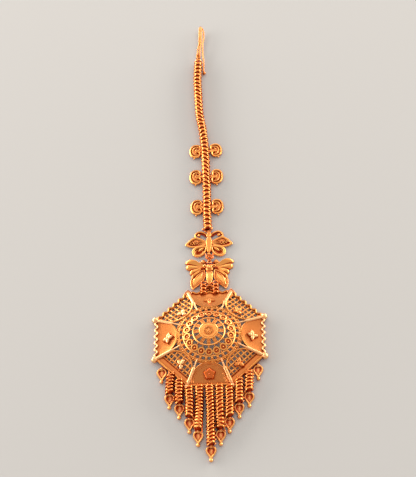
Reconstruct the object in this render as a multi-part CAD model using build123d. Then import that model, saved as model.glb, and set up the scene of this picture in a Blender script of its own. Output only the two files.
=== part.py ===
from build123d import *
import math
import os

# A maang tikka that lies face up. Lengths are in millimetres. +Z is up, +Y points to the hair
# hook and -Y to the fringe. Every piece is drawn about the medallion's centre, and all of them
# are moved together at the end, so that the origin is under the middle of the whole ornament.

piece_gap = 0.15  # clear space between neighbouring pieces

# Medallion: an octagon with sloping panels round a raised dome
corner_radius = 16.0  # centre to corner ball
corner_height = 0.9  # height of the corner balls' centres
corner_ball_radius = 0.7
ball_flat = 80  # degrees of latitude where each corner ball's small top and bottom flats begin
corner_tab_side = 1.7  # the two square tabs by the neck chains
corner_tab_height = 1.1
panel_slope = 20.0  # degrees
panel_sheet = 0.6
rib_radius = 0.45
rim_width = 0.7
rim_inset = 0.25  # from the line between corner balls to the rim's middle
rim_height = 1.4
scallop_count = 6
scallop_radius = 0.55
collar_radius = 8.7  # ring that carries the dome
collar_wire = 0.45
collar_seat = 0.96  # share of the collar's radius where it meets the panels' slope
corner_window = 1.0  # triangular window beside each rib
lattice_pitch = 1.25
lattice_hole = 0.72
lattice_border = 0.75
lattice_columns = 11
lattice_rows = 7
plain_band = 1.7  # smooth band along the lower lattice panels
flower_seat_radius = 1.5

# Dome
dome_apex = 5.45
dome_sheet = 0.55
outer_window_count = 30
outer_window_side = 0.85
outer_window_ring = 7.45
loop_window_count = 18
loop_window_radius = 0.42
loop_window_ring = 5.9
inner_window_count = 18
inner_window_radius = 0.3
inner_window_ring = 4.85
spoke_window_count = 12
spoke_window_ring = 3.3
spoke_window_length = 1.5
spoke_window_width = 0.9

# Boss on the dome
boss_radius = 2.3
boss_height = 0.45
boss_cup_radius = 1.35
boss_cup_height = 0.35

# Flowers
petal_radius = 0.62
petal_reach = 0.75  # flower centre to petal centre
flower_height = 0.45
sheet_flower_rise = 0.42  # share of the panel's length from its outer edge to the flower
lattice_flower_rise = 0.52

# Hair hook
hook_wire = 0.33  # wire radius
hook_collar_radius = 0.75
hook_collar_length = 1.2
hook_tip_radius = 0.45
link_ring_radius = 0.62
link_wire = 0.16
link_eye_radius = 0.42
hook_collar_place = (-3.5, 104.6)

# Chains
upper_chain_radius = 1.3
neck_chain_radius = 1.2
neck_chain_offset = 1.35
neck_chain_ends = (17.5, 15.3)
fringe_chain_radius = 1.1
arc_share = 0.45  # share of the shorter run that an arc takes up

# Scrolls beside the chain
scroll_half_width = 1.8
scroll_thickness = 1.0
scroll_eye_radius = 0.33
scroll_groove_depth = 0.3
scroll_stem_width = 1.0
scroll_stem_height = 0.5

# Butterflies
butterfly_thickness = 1.0
wing_rim = 0.3
wing_recess = 0.35
spine_length = 7.7  # body of the filigree butterfly
spine_width = 1.8
feeler_radius = 1.37
feeler_wire = 0.28
feeler_bead = 0.6
head_bead = 0.45
thorax_radius = 1.6
abdomen_radius = 0.88
abdomen_reach = 4.8  # stamped butterfly's middle to the end of its body
head_reach = 3.35
lobe_half_width = 0.95
eyelet_radius = 0.32
upper_butterfly_place = (-0.2, 32.0)
lower_butterfly_place = (0.0, 22.5)
butterfly_ring_place = (0.0, 27.0)
butterfly_ring_radius = 0.68
butterfly_ring_wire = 0.18

# Leaf drops
leaf_length = 4.2  # top of the cap to the ball's centre
leaf_half_width = 1.25
leaf_cap_half_width = 0.4
leaf_thickness = 1.0
leaf_ball_radius = 0.5
leaf_rim = 0.32
leaf_recess = 0.3

# Wings right of each butterfly's middle: an arc from root over crown to tip, and one back
# through hollow. The left ones mirror them.
filigree_wings = [
    {"root": (0.5, 0.6), "crown": (4.0, 1.9), "tip": (6.7, -0.2), "hollow": (4.0, -0.9)},
    {"root": (0.6, -1.1), "crown": (4.5, -2.2), "tip": (3.2, -4.4), "hollow": (1.4, -3.4)},
]
stamped_wing = {"root": (0.6, 0.4), "crown": (5.0, -2.4), "tip": (4.9, -5.9), "hollow": (1.9, -3.6)}

# Lobes of the stamped butterfly's upper wing: turn below the cross direction, and reach
stamped_lobes = [
    {"turn": -17, "reach": 7.3},
    {"turn": -4, "reach": 6.9},
    {"turn": 12, "reach": 5.9},
]

# Routes of the hook's two wires: across and along from the collar, and height. The first goes up
# the front, over the bend and back under to the tip; its twin lies beside its front leg.
hook_route = [
    (0.3, 0.0, 1.3),
    (0.85, 4.6, 1.6),
    (1.15, 11.0, 1.8),
    (1.15, 12.6, 1.3),
    (1.8, 12.2, 0.6),
    (1.55, 8.0, 0.33),
    (1.45, 3.6, 0.33),
    (1.85, -2.0, 0.33),
    (1.95, -7.0, 0.33),
]
hook_twin_route = [
    (-0.3, 0.0, 1.3),
    (0.25, 4.6, 1.6),
    (0.5, 11.2, 1.8),
    (1.0, 12.5, 1.45),
]

# Route of the upper chain, from the hook ring to the upper butterfly
upper_chain_route = [
    (-3.5, 102.0),
    (-3.7, 95.0),
    (-3.4, 87.0),
    (-3.0, 80.0),
    (-1.9, 73.0),
    (-1.3, 66.0),
    (-1.0, 58.0),
    (-0.75, 50.0),
    (-0.7, 43.0),
    (-0.5, 37.0),
]

# Scroll pairs: place along Y, the chain's middle there, and half of each scroll's length
scroll_rows = {
    "upper": {"y": 66.4, "chain_x": -1.3, "half_length": 2.5},
    "middle": {"y": 56.7, "chain_x": -0.95, "half_length": 2.75},
    "lower": {"y": 45.4, "chain_x": -0.72, "half_length": 2.75},
}

# Fringe chains from left to right: top, bend and lower end
fringe_rows = [
    {"top": (-10.75, -9.5), "bend": (-10.95, -13.4), "end": (-11.0, -16.8)},
    {"top": (-8.4, -11.8), "bend": (-8.45, -16.2), "end": (-8.3, -19.9)},
    {"top": (-5.7, -15.7), "bend": (-5.5, -20.2), "end": (-5.5, -24.3)},
    {"top": (-2.9, -15.4), "bend": (-2.85, -22.0), "end": (-3.15, -28.2)},
    {"top": (-0.1, -15.4), "bend": (0.25, -24.5), "end": (0.3, -32.7)},
    {"top": (2.65, -15.4), "bend": (2.75, -22.0), "end": (2.9, -28.1)},
    {"top": (5.3, -15.7), "bend": (5.4, -20.3), "end": (5.3, -24.5)},
    {"top": (8.1, -12.0), "bend": (8.1, -16.3), "end": (7.95, -20.2)},
    {"top": (10.8, -9.5), "bend": (10.75, -13.5), "end": (10.7, -17.0)},
]
side_drop_places = [(-13.3, -8.9), (13.3, -8.9)]

# Worked out from the sizes above
half_turn = 22.5  # degrees from a side's middle to its corner
side_distance = corner_radius * math.cos(math.radians(half_turn))
side_half_length = corner_radius * math.sin(math.radians(half_turn))
slope = math.radians(panel_slope)
collar_height = corner_height + (side_distance - collar_radius * collar_seat) * math.tan(slope)


def around(radius, angle, height=0.0):
    """Point at a distance from the centre, at an angle in degrees from +X."""
    turn = math.radians(angle)
    return Vector(radius * math.cos(turn), radius * math.sin(turn), height)


def rod(start, end, radius):
    """Round bar between two points."""
    line = Vector(*end) - Vector(*start)
    middle = (Vector(*end) + Vector(*start)) * 0.5
    return Plane(origin=middle, z_dir=line) * Cylinder(radius, line.length)


def ring(place, major, wire, normal=(0, 0, 1)):
    """Closed wire ring."""
    return Plane(origin=place, z_dir=normal) * Torus(major, wire)


def ball(place, radius):
    return Pos(*place) * Sphere(radius)


def arc_radii(points):
    """Radius of the arc at each inner point: as large as the two runs beside it allow."""
    radii = []
    for before, here, after in zip(points, points[1:], points[2:]):
        run_in = here - before
        run_out = after - here
        half_angle = math.radians(run_in.get_angle(run_out) / 2)
        radii.append(arc_share * min(run_in.length, run_out.length) / math.tan(half_angle))
    return radii


def tube(route, radius, name):
    """Round tube along straight runs joined by tangent arcs."""
    points = [Vector(*point) for point in route]
    radii = arc_radii(points)
    print(name, "arc radii", [round(value, 1) for value in radii])
    path = FilletPolyline(*points, radius=radii)
    section = Plane(origin=path @ 0, z_dir=path % 0) * Circle(radius)
    solid = sweep(section, path=path)
    share = solid.volume / (math.pi * radius**2 * path.length)
    print(name, "length", round(path.length, 1), "volume share", round(share, 4))
    return solid


def chain(route, radius, name):
    """Chain that lies on the floor, as one tube of its outer size."""
    return tube([(x, y, radius) for x, y in route], radius, name)


# Medallion


def panel_plane(angle):
    """Plane of one panel: x runs along the outer edge, y runs up the slope to the centre."""
    turn = math.radians(angle)
    tangent = (-math.sin(turn), math.cos(turn), 0)
    normal = (math.cos(turn) * math.sin(slope), math.sin(turn) * math.sin(slope), math.cos(slope))
    return Plane(origin=around(side_distance, angle, corner_height), x_dir=tangent, z_dir=normal)


def half_width_at(rise):
    """Half the panel's width at a distance up its slope."""
    return (side_distance - rise * math.cos(slope)) * math.tan(math.radians(half_turn))


panel_length = (side_distance - collar_radius * math.cos(math.radians(half_turn))) / math.cos(slope)


def panel_outline():
    inner = half_width_at(panel_length)
    return Polygon(
        (-side_half_length, 0), (side_half_length, 0), (inner, panel_length), (-inner, panel_length),
        align=None,
    )


def sheet_panel():
    """Plain panel with a small triangular window at each inner corner."""
    outline = panel_outline()
    top = panel_length - 2 * collar_wire
    for side in (-1, 1):
        edge = side * (half_width_at(top) - rib_radius)
        low_edge = side * (half_width_at(top - corner_window) - rib_radius)
        outline -= Polygon(
            (edge, top), (low_edge, top - corner_window), (edge - side * corner_window, top),
            align=None,
        )
    return outline


def lattice_panel(band):
    """Panel pierced by rows of square holes, solid under its flower and along its edges."""
    outline = panel_outline()
    seat = (0, panel_length * lattice_flower_rise)
    reach = lattice_hole / 2 + lattice_border
    cutters = []
    for spot in GridLocations(lattice_pitch, lattice_pitch, lattice_columns, lattice_rows):
        x = spot.position.X
        y = spot.position.Y + panel_length / 2
        inside = abs(x) + reach < half_width_at(y + lattice_hole / 2)
        low_enough = y + reach < panel_length
        high_enough = y - lattice_hole / 2 > band
        clear_of_seat = math.hypot(x - seat[0], y - seat[1]) > flower_seat_radius + lattice_hole / 2
        if inside and low_enough and high_enough and clear_of_seat:
            cutters.append(Pos(x, y) * Rectangle(lattice_hole, lattice_hole))
    return outline - cutters


def side_rim(angle, scalloped):
    """Upright rim along one side, with round scallops where the side has them."""
    strip = Rectangle(rim_width, 2 * side_half_length)
    if scalloped:
        spacing = 2 * side_half_length / scallop_count
        for spot in GridLocations(0, spacing, 1, scallop_count):
            strip += spot * Circle(scallop_radius)
    return Rot(0, 0, angle) * Pos(side_distance - rim_inset, 0) * extrude(strip, rim_height)


def medallion_frame():
    sides = {
        0: sheet_panel(),
        90: sheet_panel(),
        180: sheet_panel(),
        270: sheet_panel(),
        45: lattice_panel(lattice_border),
        135: lattice_panel(lattice_border),
        225: lattice_panel(plain_band),
        315: lattice_panel(plain_band),
    }
    panels = Part()
    for angle, outline in sides.items():
        panels += extrude(panel_plane(angle) * outline, -panel_sheet)
    panels -= Cylinder(collar_radius - 0.5 * collar_wire, 4 * corner_height + 2 * collar_height)
    rims = Part()
    for angle in sides:
        rims += side_rim(angle, angle <= 180)
    corners = Part()
    for step in range(8):
        angle = half_turn + 45 * step
        foot = around(corner_radius, angle, corner_height)
        head = around(collar_radius, angle, collar_height)
        corners += rod(foot, head, rib_radius)
        if step in (1, 2):
            tab = Box(corner_tab_side, corner_tab_side, corner_tab_height)
            corners += Pos(*foot) * Rot(0, 0, angle - half_turn) * tab
        else:
            corners += Pos(*foot) * Sphere(corner_ball_radius, -ball_flat, ball_flat)
    return panels + rims + corners + ring((0, 0, collar_height), collar_radius, collar_wire)


def dome_radius():
    """Sphere radius of a cap through the collar and the apex."""
    half_base = collar_radius - collar_wire - piece_gap
    rise = dome_apex - collar_height
    return (half_base**2 + rise**2) / (2 * rise)


def rosette_dome():
    """Thin cap, pierced by rings of windows."""
    outer = dome_radius()
    centre = (0, 0, dome_apex - outer)
    shell = ball(centre, outer) - ball(centre, outer - dome_sheet)
    bounds = Pos(0, 0, dome_apex) * Cylinder(collar_radius - collar_wire - piece_gap, 2 * dome_apex)
    cap = shell & bounds
    windows = []
    for spot in PolarLocations(outer_window_ring, outer_window_count):
        windows.append(spot * Rectangle(outer_window_side, outer_window_side))
    for spot in PolarLocations(loop_window_ring, loop_window_count):
        windows.append(spot * Circle(loop_window_radius))
    for spot in PolarLocations(inner_window_ring, inner_window_count, start_angle=180 / inner_window_count):
        windows.append(spot * RegularPolygon(inner_window_radius, 3))
    for spot in PolarLocations(spoke_window_ring, spoke_window_count):
        windows.append(spot * Trapezoid(spoke_window_width, spoke_window_length, 75, rotation=90))
    cutters = [extrude(window, 2 * dome_apex) for window in windows]
    return cap - cutters


def centre_boss():
    seat = dome_apex + piece_gap
    disc = Pos(0, 0, seat + boss_height / 2) * Cylinder(boss_radius, boss_height)
    cup = Pos(0, 0, seat + boss_height) * Cylinder(boss_cup_radius, 2 * boss_cup_height)
    hollow = Pos(0, 0, seat + boss_height + boss_cup_height) * Sphere(boss_cup_radius * 0.7)
    hollow &= Pos(0, 0, seat + boss_height + 2 * boss_cup_height) * Box(4, 4, 2.4 * boss_cup_height)
    return disc + cup - hollow


def flower(angle, rise_share):
    """Four petals round a bead, set on the panel at an angle from +X."""
    petals = Circle(petal_radius * 0.6)
    for spot in PolarLocations(petal_reach, 4):
        petals += spot * Circle(petal_radius)
    seat = panel_plane(angle) * Pos(0, panel_length * rise_share, piece_gap)
    bead = Pos(0, 0, flower_height) * Sphere(petal_radius * 0.6)
    return seat * (extrude(petals, flower_height) + bead)


# Hair hook and its ring


def hair_hook():
    """Doubled front leg with a collar, folded over and back as one wire with a ball tip."""
    x, y = hook_collar_place
    rise = upper_chain_radius
    route = [(x + across, y + along, height) for across, along, height in hook_route]
    twin = [(x + across, y + along, height) for across, along, height in hook_twin_route]
    hook = tube(route, hook_wire, "hook wire") + tube(twin, hook_wire, "hook twin wire")
    low, high = y - hook_collar_length / 2, y + hook_collar_length / 2
    hook += rod((x, low, rise), (x, high, rise), hook_collar_radius)
    hook += ring((x, low - link_eye_radius, rise), link_eye_radius, link_wire, (1, 0, 0))
    tip = Vector(*route[-1]) + Vector(0, 0, hook_tip_radius - hook_wire)
    return hook + ball(tip, hook_tip_radius)


def hook_ring():
    """Flat ring through the hook's eye."""
    x, y = hook_collar_place
    eye = y - hook_collar_length / 2 - link_eye_radius
    return ring((x, eye - link_ring_radius, upper_chain_radius), link_ring_radius, link_wire)


# Ornaments along the chain


def scroll(row, side):
    """Oval double scroll with a grooved rim, two eyes towards the chain and a stem."""
    half_length = row["half_length"]
    middle = row["chain_x"] + side * (upper_chain_radius + 2 * piece_gap + scroll_half_width)
    outline = Ellipse(scroll_half_width, half_length)
    groove = Ellipse(scroll_half_width * 0.74, half_length * 0.8)
    groove -= Ellipse(scroll_half_width * 0.56, half_length * 0.64)
    for end in (-1, 1):
        eye = Pos(-side * scroll_half_width * 0.45, end * half_length * 0.28)
        outline -= eye * Circle(scroll_eye_radius)
    body = extrude(outline, scroll_thickness)
    body -= Pos(0, 0, scroll_thickness - scroll_groove_depth) * extrude(groove, scroll_thickness)
    stem = Box(2 * piece_gap, scroll_stem_width, scroll_stem_height)
    body += Pos(-side * scroll_half_width, 0, scroll_thickness / 2) * stem
    return Pos(middle, row["y"], 0) * body


def wing_shape(wing, side):
    """Area between two arcs that share a root and a tip."""
    places = {name: (side * x, y) for name, (x, y) in wing.items()}
    upper = ThreePointArc(places["root"], places["crown"], places["tip"])
    lower = ThreePointArc(places["tip"], places["hollow"], places["root"])
    return make_face([upper, lower])


def sunken(shape):
    """Cutter that sinks the inside of a wing and leaves a raised rim round it."""
    return Pos(0, 0, butterfly_thickness - wing_recess) * extrude(offset(shape, -wing_rim), wing_recess)


def upper_butterfly():
    """Filigree butterfly: looped feelers, pointed upper wings and round lower wings."""
    spine = SlotOverall(spine_length, spine_width, rotation=90)
    wings = [wing_shape(wing, side) for wing in filigree_wings for side in (-1, 1)]
    outline = Sketch() + spine
    for wing in wings:
        outline += wing
    for side in (-1, 1):
        loop = Circle(feeler_radius + feeler_wire) - Circle(feeler_radius - feeler_wire)
        outline += Pos(side * 2.15, 2.75) * loop
    body = extrude(outline, butterfly_thickness)
    for wing in wings:
        body -= sunken(wing) - extrude(spine, butterfly_thickness)
    for side in (-1, 1):
        body += ball((side * 3.3, 2.5, butterfly_thickness * 0.6), feeler_bead)
    body += ball((0, -spine_length / 2 - head_bead / 4, butterfly_thickness / 2), head_bead)
    return Pos(*upper_butterfly_place) * body


def lower_butterfly():
    """Stamped butterfly: lobed upper wings, a leaf as each lower wing and a round body."""
    thorax = Pos(0, 0.9) * Circle(thorax_radius)
    leaves = [wing_shape(stamped_wing, side) for side in (-1, 1)]
    outline = thorax + leaves
    for side in (-1, 1):
        outline += Pos(side * 1.8, 2.5) * Circle(1.0)
        for lobe in stamped_lobes:
            shape = Pos(lobe["reach"] / 2, 0) * Ellipse(lobe["reach"] / 2, lobe_half_width)
            outline += Pos(0, 0.8) * Rot(0, 0, 90 - side * (90 + lobe["turn"])) * shape
        outline -= Pos(side * 1.0, 2.45) * Circle(eyelet_radius)
        outline -= Pos(side * 2.2, 2.3) * Circle(eyelet_radius)
    body = extrude(outline, butterfly_thickness)
    for leaf in leaves:
        body -= sunken(leaf)
    body += extrude(thorax, abdomen_radius * 2)
    tail = (0, abdomen_radius - abdomen_reach, abdomen_radius)
    body += rod((0, 0, abdomen_radius), tail, abdomen_radius) + ball(tail, abdomen_radius)
    head = (0, head_reach, butterfly_thickness / 2)
    body += rod((0, 0, butterfly_thickness / 2), head, head_bead) + ball(head, head_bead)
    return Pos(*lower_butterfly_place) * body


def butterfly_ring():
    place = (*butterfly_ring_place, butterfly_thickness + butterfly_ring_wire + piece_gap)
    return ring(place, butterfly_ring_radius, butterfly_ring_wire)


# Fringe


def leaf_drop(place):
    """Leaf with a raised rim, a cap at its top and a ball at its tip. The place is its top."""
    neck = leaf_length - leaf_ball_radius * 0.6
    right = ThreePointArc(
        (leaf_cap_half_width, 0), (leaf_half_width, -leaf_length * 0.36), (0.15, -neck)
    )
    left = ThreePointArc(
        (-0.15, -neck), (-leaf_half_width, -leaf_length * 0.36), (-leaf_cap_half_width, 0)
    )
    cap = Line((-leaf_cap_half_width, 0), (leaf_cap_half_width, 0))
    foot = Line((0.15, -neck), (-0.15, -neck))
    outline = make_face([right, foot, left, cap])
    floor = offset(outline, -leaf_rim)
    body = extrude(outline, leaf_thickness)
    body -= Pos(0, 0, leaf_thickness - leaf_recess) * extrude(floor, leaf_thickness)
    body += ball((0, -leaf_length, leaf_ball_radius), leaf_ball_radius)
    return Pos(place[0], place[1], 0) * body


def keep_out():
    """Space of the medallion's octagon, with a gap round it."""
    reach = side_distance - rim_inset + rim_width / 2 + piece_gap
    return Rot(0, 0, half_turn) * extrude(RegularPolygon(reach, 8, major_radius=False), 6)


def build():
    pieces = {
        "hair_hook": hair_hook(),
        "hook_ring": hook_ring(),
        "upper_chain": chain(upper_chain_route, upper_chain_radius, "upper_chain"),
        "upper_butterfly": upper_butterfly(),
        "butterfly_ring": butterfly_ring(),
        "lower_butterfly": lower_butterfly(),
        "medallion_frame": medallion_frame(),
        "rosette_dome": rosette_dome(),
        "centre_boss": centre_boss(),
        "flower_right": flower(0, sheet_flower_rise),
        "flower_top": flower(90, sheet_flower_rise),
        "flower_left": flower(180, sheet_flower_rise),
        "flower_bottom": flower(270, sheet_flower_rise),
        "flower_upper_right": flower(45, lattice_flower_rise),
        "flower_upper_left": flower(135, lattice_flower_rise),
        "flower_lower_left": flower(225, lattice_flower_rise),
        "flower_lower_right": flower(315, lattice_flower_rise),
    }
    for name, row in scroll_rows.items():
        for side, word in ((-1, "left"), (1, "right")):
            pieces[f"scroll_{name}_{word}"] = scroll(row, side)
    for side, word in ((-1, "left"), (1, "right")):
        start = (side * neck_chain_offset, neck_chain_ends[0], neck_chain_radius)
        end = (side * neck_chain_offset, neck_chain_ends[1], neck_chain_radius)
        pieces[f"neck_chain_{word}"] = rod(start, end, neck_chain_radius)
    octagon = keep_out()
    for number, row in enumerate(fringe_rows, 1):
        name = f"fringe_chain_{number}"
        pieces[name] = chain(row.values(), fringe_chain_radius, name) - octagon
    drops = [side_drop_places[0]]
    drops += [(row["end"][0], row["end"][1] - piece_gap) for row in fringe_rows]
    drops += [side_drop_places[1]]
    for number, place in enumerate(drops, 1):
        pieces[f"leaf_drop_{number}"] = leaf_drop(place)
    return pieces


def main():
    os.makedirs("parts", exist_ok=True)
    pieces = build()
    box = Compound([piece for shape in pieces.values() for piece in shape.solids()]).bounding_box()
    shift = Pos(-box.center().X, -box.center().Y, -box.min.Z)
    print("size", [round(value, 2) for value in box.size], "shift", shift.position)
    for name, shape in pieces.items():
        export_step(shift * shape, f"parts/{name}.step")


if __name__ == "__main__":
    main()
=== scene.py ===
import bpy
import numpy as np
from mathutils import Matrix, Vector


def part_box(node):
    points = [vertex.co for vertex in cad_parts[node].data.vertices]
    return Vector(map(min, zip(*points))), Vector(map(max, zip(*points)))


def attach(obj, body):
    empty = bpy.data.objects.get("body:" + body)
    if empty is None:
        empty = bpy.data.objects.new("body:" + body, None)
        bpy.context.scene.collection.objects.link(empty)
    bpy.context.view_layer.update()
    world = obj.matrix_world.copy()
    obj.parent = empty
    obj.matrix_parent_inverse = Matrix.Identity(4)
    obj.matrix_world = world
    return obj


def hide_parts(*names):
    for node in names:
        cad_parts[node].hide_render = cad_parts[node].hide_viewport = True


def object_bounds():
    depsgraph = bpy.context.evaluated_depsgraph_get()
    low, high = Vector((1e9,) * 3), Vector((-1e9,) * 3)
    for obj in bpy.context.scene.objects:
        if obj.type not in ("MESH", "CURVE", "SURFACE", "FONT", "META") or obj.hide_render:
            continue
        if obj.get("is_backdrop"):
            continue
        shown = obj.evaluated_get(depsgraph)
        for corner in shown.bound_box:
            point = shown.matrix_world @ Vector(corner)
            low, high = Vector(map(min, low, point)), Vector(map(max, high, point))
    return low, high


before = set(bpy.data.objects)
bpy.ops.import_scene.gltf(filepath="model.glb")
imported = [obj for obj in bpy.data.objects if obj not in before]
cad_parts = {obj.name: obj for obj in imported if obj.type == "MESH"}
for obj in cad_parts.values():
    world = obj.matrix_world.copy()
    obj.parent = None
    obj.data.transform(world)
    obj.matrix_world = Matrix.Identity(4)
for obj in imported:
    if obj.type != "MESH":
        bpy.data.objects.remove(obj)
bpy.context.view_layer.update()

# Shapes are drawn in millimetres about the medallion's middle, with +Y towards the hair hook.
# addPiece moves them to the frame's own origin and into metres.
millimetre = 0.001
bossLow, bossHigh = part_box("centre_boss")
medallionMiddle = np.array([(bossLow.x + bossHigh.x) / 2, (bossLow.y + bossHigh.y) / 2, 0.0]) / millimetre


# A shape is a tuple of points, four-cornered faces and a painted shade mark per point, 0 for none and 1 for
# the deep shade of a hollow.


def unit(vectors):
    # each vector divided by its own length
    return vectors / np.linalg.norm(vectors, axis=-1, keepdims=True)


def circle(count):
    # angles spread evenly over a full turn
    return np.linspace(0, 2 * np.pi, count, endpoint=False)


def oval(count, wide, tall):
    # wide * cos(a) across and tall * sin(a) along, for a round a full turn
    angle = circle(count)
    return np.stack((wide * np.cos(angle), tall * np.sin(angle)), -1)


def squared(points, power):
    # each number to the power with its sign kept, which makes a rounded square of a circle
    return np.sign(points) * np.abs(points) ** power


def gridFaces(rows, columns, loopRows=False):
    # quads between neighbouring rows and columns; columns always close, rows close when loopRows is set
    i = np.arange(rows if loopRows else rows - 1)[:, None]
    j = np.arange(columns)[None, :]
    below = (i + 1) % rows
    beside = (j + 1) % columns
    corners = (i * columns + j, below * columns + j, below * columns + beside, i * columns + beside)
    return np.stack(np.broadcast_arrays(*corners), -1).reshape(-1, 4)


def smoothPath(keys, count, loop=False):
    # cubic through all keys, whose slope at a key is half the step from the key before to the key after
    keys = np.asarray(keys, float)
    spans = len(keys) if loop else len(keys) - 1
    place = np.linspace(0, spans, count, endpoint=not loop)
    here = np.minimum(place.astype(int), spans - 1)
    t = (place - here)[:, None]

    def key(step):
        # the key that many steps on, round the loop or held at the ends
        index = here + step
        return keys[index % len(keys)] if loop else keys[np.clip(index, 0, len(keys) - 1)]

    a, b, c, d = key(-1), key(0), key(1), key(2)
    return b + 0.5 * t * (c - a + t * (2 * a - 5 * b + 4 * c - d + t * (3 * (b - c) + d - a)))


def evenPath(keys, count, loop=False):
    # the smooth path again, with its points at even distances along it
    fine = smoothPath(keys, 40 * len(keys), loop)
    if loop:
        fine = np.concatenate((fine, fine[:1]))
    run = np.concatenate(([0], np.cumsum(np.linalg.norm(np.diff(fine, axis=0), axis=1))))
    wanted = np.linspace(0, run[-1], count, endpoint=not loop)
    return np.stack([np.interp(wanted, run, fine[:, axis]) for axis in range(fine.shape[1])], -1)


def lifted(flat, height):
    # plan points with a height, one number or one per point
    flat = np.asarray(flat, float)
    return np.column_stack((flat, np.broadcast_to(height, len(flat))))


def carry(path, across, rise, up=(0, 0, 1), loop=False, tone=0.0):
    # point = path + side * across + lift * rise; side = tangent x up, lift = side x tangent
    path = np.asarray(path, float)
    step = np.roll(path, -1, 0) - np.roll(path, 1, 0) if loop else np.gradient(path, axis=0)
    tangent = unit(step)
    side = unit(np.cross(tangent, up))
    lift = np.cross(side, tangent)
    points = path[:, None] + side[:, None] * across[..., None] + lift[:, None] * rise[..., None]
    rows, columns = points.shape[:2]
    marks = np.array(np.broadcast_to(tone, (rows, columns)), float).reshape(-1)
    return points.reshape(-1, 3), gridFaces(rows, columns, loop), marks


def roundEnds(path, radius, up):
    # three more rings at each end: radius * cos(a), set outwards by radius * sin(a)
    bend = np.radians([90.0, 58.0, 28.0])[:, None]
    first = path[0] + np.sin(bend) * radius[0] * unit(path[0] - path[1])
    last = path[-1] + np.sin(bend[::-1]) * radius[-1] * unit(path[-1] - path[-2])
    shrink = np.cos(bend[:, 0])
    shrink[0] = 0
    radius = np.concatenate((shrink * radius[0], radius, shrink[::-1] * radius[-1]))
    up = np.concatenate((np.repeat(up[:1], 3, 0), up, np.repeat(up[-1:], 3, 0)))
    return np.concatenate((first, path, last)), radius, up


def tube(path, radius, sides=8, up=(0, 0, 1), loop=False, flat=1.0, square=1.0, tone=0.0):
    # section: across = r * cos(a) and rise = flat * r * sin(a), both to the power of square
    path = np.asarray(path, float)
    up = np.broadcast_to(np.asarray(up, float), path.shape)
    radius = np.broadcast_to(np.asarray(radius, float), (len(path),))
    if not loop:
        path, radius, up = roundEnds(path, radius, up)
    section = squared(oval(sides, 1, 1), square) * (1, flat)
    return carry(path, radius[:, None] * section[:, 0], radius[:, None] * section[:, 1], up, loop, tone)


def plate(outline, profile, core=(0.0, 0.0), tone=0.0):
    # point = core + share * (outline - core) at the profile's height, from the top's middle to the foot's;
    # tone is one painted shade mark, or one for each row of the profile
    outline = np.asarray(outline, float)
    core = np.broadcast_to(np.asarray(core, float), outline.shape)
    ahead = np.roll(outline, -1, 0)
    if np.sum(outline[:, 0] * ahead[:, 1] - outline[:, 1] * ahead[:, 0]) < 0:
        outline, core = outline[::-1], core[::-1]
    profile = np.asarray(profile, float)
    plan = core + profile[:, 0, None, None] * (outline - core)
    height = np.broadcast_to(profile[:, 1, None], plan.shape[:2])
    points = np.concatenate((plan, height[..., None]), -1)
    marks = np.array(np.broadcast_to(np.reshape(tone, (-1, 1)), height.shape), float).reshape(-1)
    return points.reshape(-1, 3), gridFaces(len(profile), len(outline)), marks


def turned(profile, place=(0.0, 0.0, 0.0), sides=12, stretch=(1.0, 1.0), tone=0.0):
    # a circle of each profile radius at its height, wider by stretch, round an upright axis at place
    points, faces, marks = plate(oval(sides, *stretch), profile, tone=tone)
    return points + np.asarray(place, float), faces, marks


def ball(place, radius, sides=12, tall=1.0, stretch=(1.0, 1.0), tone=0.0):
    # radius * sin(a) out and tall * radius * cos(a) up, for a from pole to pole
    a = np.linspace(0, np.pi, max(sides // 2, 4) + 1)
    profile = radius * np.stack((np.sin(a), tall * np.cos(a)), -1)
    profile[[0, -1], 0] = 0
    return turned(profile, place, sides, stretch, tone)


def blade(path, width, top, tone=0.0):
    # across = share * width and rise = height * fade, for top rows of share and height;
    # fade falls to nothing where the width does, so that the ends close in a point
    width = np.asarray(width, float)[:, None]
    fade = np.clip(width / width.max() * 5, 0, 1)
    share, height = np.concatenate((top, [(-1, 0), (0, 0), (1, 0)])).T
    return carry(path, width * share, fade * height, tone=tone)


def joined(shapes):
    # all points and faces in one shape, each face's corners moved on by the points before it
    counts = np.cumsum([0] + [len(points) for points, _, _ in shapes[:-1]])
    points = np.concatenate([points for points, _, _ in shapes])
    faces = np.concatenate([faces + start for (_, faces, _), start in zip(shapes, counts)])
    return points, faces, np.concatenate([marks for _, _, marks in shapes])


def copies(shape, turns, places):
    # every copy is turn @ point + place, for arrays of 3 x 3 turns and places
    points, faces, marks = shape
    places = np.asarray(places, float)
    turns = np.broadcast_to(np.asarray(turns, float), (len(places), 3, 3))
    spread = np.einsum("kab,pb->kpa", turns, points) + places[:, None]
    starts = np.arange(len(places))[:, None, None] * len(points)
    return spread.reshape(-1, 3), (faces + starts).reshape(-1, 4), np.tile(marks, len(places))


def turnAbout(angle):
    # turns about the upright axis, one for each angle in radians
    angle = np.atleast_1d(angle)
    turn = np.zeros((len(angle), 3, 3))
    turn[:, 0, 0] = turn[:, 1, 1] = np.cos(angle)
    turn[:, 1, 0] = np.sin(angle)
    turn[:, 0, 1] = -np.sin(angle)
    turn[:, 2, 2] = 1
    return turn


def wheel(shape, angles):
    # a copy of the shape for each angle in radians about the origin
    return copies(shape, turnAbout(angles), np.zeros((len(angles), 3)))


def beads(places, radius):
    # the same small ball at every place
    return copies(ball((0, 0, 0), radius, 8), np.eye(3), places)


def shifted(shapes, place, turn=0.0):
    # every shape turned about the upright axis and moved to the place
    return [copies(shape, turnAbout(turn), [place]) for shape in shapes]


def withMoreShade(shapes, tone):
    # the same shapes, each painted shade mark raised by tone, which paints them darker as if in shade
    return [(points, faces, marks + tone) for points, faces, marks in shapes]


def toSide(keys, side):
    # places that are drawn for the right side, mirrored for a side of -1
    keys = np.array(keys, float)
    keys[..., 0] *= side
    return keys


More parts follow.
